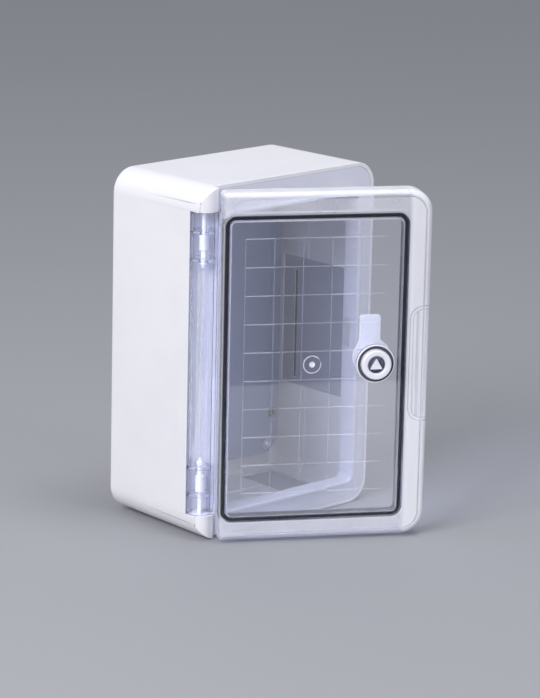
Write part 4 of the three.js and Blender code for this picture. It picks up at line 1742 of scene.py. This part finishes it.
@dataclass
class Studio:
    """The camera, the soft light, the plain floor and the surroundings."""

    layout: Layout
    focal: float = 178.94
    yaw: float = 0.7456984
    pitch: float = 0.2522077
    roll: float = 0.0222852
    distance: float = 2938.42
    aside: float = -12.50
    above: float = -0.34
    floor_level: float = -151.4
    floor_half: float = 12.0
    floor_colour: Colour = (0.36, 0.365, 0.39)
    surround: Colour = (0.86, 0.88, 0.95)
    surround_strength: float = 0.55
    card: SoftBox = SoftBox("floor_card", (0.16, -0.275, 0.0), (0.9, 0.49), 2.7, (0.90, 0.92, 1.0))
    lamps: tuple[SoftBox, ...] = (
        SoftBox("key", (-2.2, -0.5, 1.3), (1.3, 1.3), 46, (1.0, 0.99, 0.99)),
        SoftBox("front_fill", (0.6, -2.6, 0.8), (1.2, 1.2), 12, (0.94, 0.95, 1.0)),
        SoftBox("top", (0.2, -0.45, 2.2), (0.8, 0.8), 13, (0.97, 0.97, 1.0)),
    )

    def camera(self) -> None:
        """Makes the camera: a long lens, looking down on the box from its right."""
        data = bpy.data.cameras.new("view")
        data.lens = self.focal
        data.sensor_width = 36
        data.clip_end = 50
        across = math.cos(self.pitch)
        forward = Vector((math.sin(self.yaw) * across, math.cos(self.yaw) * across, -math.sin(self.pitch)))
        level = Vector((math.cos(self.yaw), -math.sin(self.yaw), 0))
        up = level.cross(forward)
        right = math.cos(self.roll) * level + math.sin(self.roll) * up
        upright = -math.sin(self.roll) * level + math.cos(self.roll) * up
        at = -forward * self.distance + right * self.aside + upright * self.above
        at.y += self.layout.front
        turn = Matrix((right, upright, -forward)).transposed().to_4x4()
        holder = new_object("view", data)
        holder.matrix_world = Matrix.Translation(at * MM) @ turn
        bpy.context.scene.camera = holder

    def light(self) -> None:
        """Makes the lamps, which all face the model, and the even light of the surroundings."""
        for lamp in self.lamps:
            at = Vector(lamp.place)
            lamp.lit(Matrix.Translation(at) @ at.to_track_quat("Z", "Y").to_matrix().to_4x4())
        world = bpy.data.worlds.new("surround")
        world.use_nodes = True
        background = world.node_tree.nodes["Background"]
        background.inputs["Color"].default_value = (*self.surround, 1)
        background.inputs["Strength"].default_value = self.surround_strength
        bpy.context.scene.world = world

    def lay_card(self) -> None:
        """Lays a bright card square to the door, just over the floor, that shows only as a reflection."""
        turn = self.layout.door_place.to_3x3().to_4x4()
        at = self.layout.door_place.translation * MM + turn @ Vector(self.card.place)
        at.z = (self.floor_level + 1) * MM
        holder = self.card.lit(Matrix.Translation(at) @ turn @ Matrix.Rotation(math.pi, 4, "X"))
        holder.visible_camera = False
        holder.visible_diffuse = False
        holder.visible_transmission = False

    def floor(self) -> None:
        """Makes the plain floor, which isn't part of the object."""
        half = self.floor_half
        level = self.floor_level * MM
        mesh = bpy.data.meshes.new("floor")
        corners = [(-half, -half, level), (half, -half, level), (half, half, level), (-half, half, level)]
        mesh.from_pydata(corners, [], [(0, 1, 2, 3)])
        graph = Graph("floor_paper")
        cloud = graph.noise(400, detail=2)
        tone = tuple(0.96 * part for part in self.floor_colour)
        mesh.materials.append(graph.finished(graph.surface({
            "Base Color": graph.mix_colour(cloud, self.floor_colour, tone), "Roughness": 0.85,
        })))
        new_object("floor", mesh)

    def build(self) -> None:
        """Makes the studio and sets how tones are shown."""
        self.camera()
        self.light()
        self.lay_card()
        self.floor()
        bpy.context.scene.view_settings.view_transform = "Standard"


# ---- the whole model --------------------------------------------------------------------------------
def main() -> None:
    """Builds the model in order and notes its size."""
    logging.basicConfig(level=logging.INFO, format="%(name)s: %(message)s")
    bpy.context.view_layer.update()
    layout = Layout()
    shell_white = MouldedPlastic("shell_plastic", "shell_white", (0.82, 0.82, 0.85), (0.78, 0.78, 0.82))
    frame_white = MouldedPlastic("frame_plastic", "frame_white", (0.73, 0.74, 0.82), (0.69, 0.70, 0.79))
    # Painted shade for the floors of the shallow recesses: a darker grey than the shell's own white.
    recess_shade_grey = MouldedPlastic(
        "recess_painted_shade", "shell_white", (0.44, 0.46, 0.56), (0.40, 0.42, 0.52), 0.25)
    # Near-black painted shade for the tube bores and the side-wall grooves.
    tube_shade = MouldedPlastic("bore_and_groove_painted_shade", "shell_white", (0.03, 0.03, 0.05), (0.05, 0.05, 0.07), 0.5)
    plate_grey = PowderCoat("plate_coat", "plate_grey", (0.32, 0.355, 0.49), (0.29, 0.32, 0.45))
    clear = ClearPlastic("door_plastic", "clear_door", (0.93, 0.94, 0.98), (0.89, 0.89, 0.93), layout)
    seal_black = FoamRubber("seal_foam", "seal_black", (0.004, 0.004, 0.008), (0.012, 0.012, 0.018))
    pin_white = MouldedPlastic("pin_plastic", "pin_white", (0.93, 0.93, 0.96), (0.90, 0.90, 0.94), 0.3)
    lock_white = MouldedPlastic("lock_plastic", "lock_white", (0.82, 0.82, 0.88), (0.78, 0.78, 0.85), 0.28)
    # Dark grey painted shade for the key well and the lock insert.
    well_shade_grey = MouldedPlastic("well_painted_shade", "lock_white", (0.24, 0.26, 0.36), (0.20, 0.22, 0.32), 0.3)
    # Near-black painted shade for the groove round the lock's ring head.
    groove_dark = MouldedPlastic(
        "groove_painted_shade", "lock_white", (0.05, 0.05, 0.08), (0.09, 0.09, 0.13), 0.3)
    cam_grey = MouldedPlastic("cam_plastic", "cam_grey", (0.82, 0.82, 0.84), (0.78, 0.78, 0.81), 0.3)
    zinc = ZincPlate("zinc", "zinc_steel", (0.94, 0.95, 0.97), (0.84, 0.85, 0.88))

    for assembly in (
        Studio(layout),
        EnclosureShell(layout, shell_white, recess_shade_grey, tube_shade),
        SealingFrame(layout, frame_white),
        PlateGroup(layout, plate_grey, zinc),
        ClearDoor(layout, clear, seal_black),
        HingePins(layout, pin_white),
        QuarterTurnLock(layout, lock_white, well_shade_grey, groove_dark, cam_grey, seal_black, zinc),
    ):
        assembly.build()
        log.info("%s done", type(assembly).__name__)


if __name__ == "__main__":
    main()
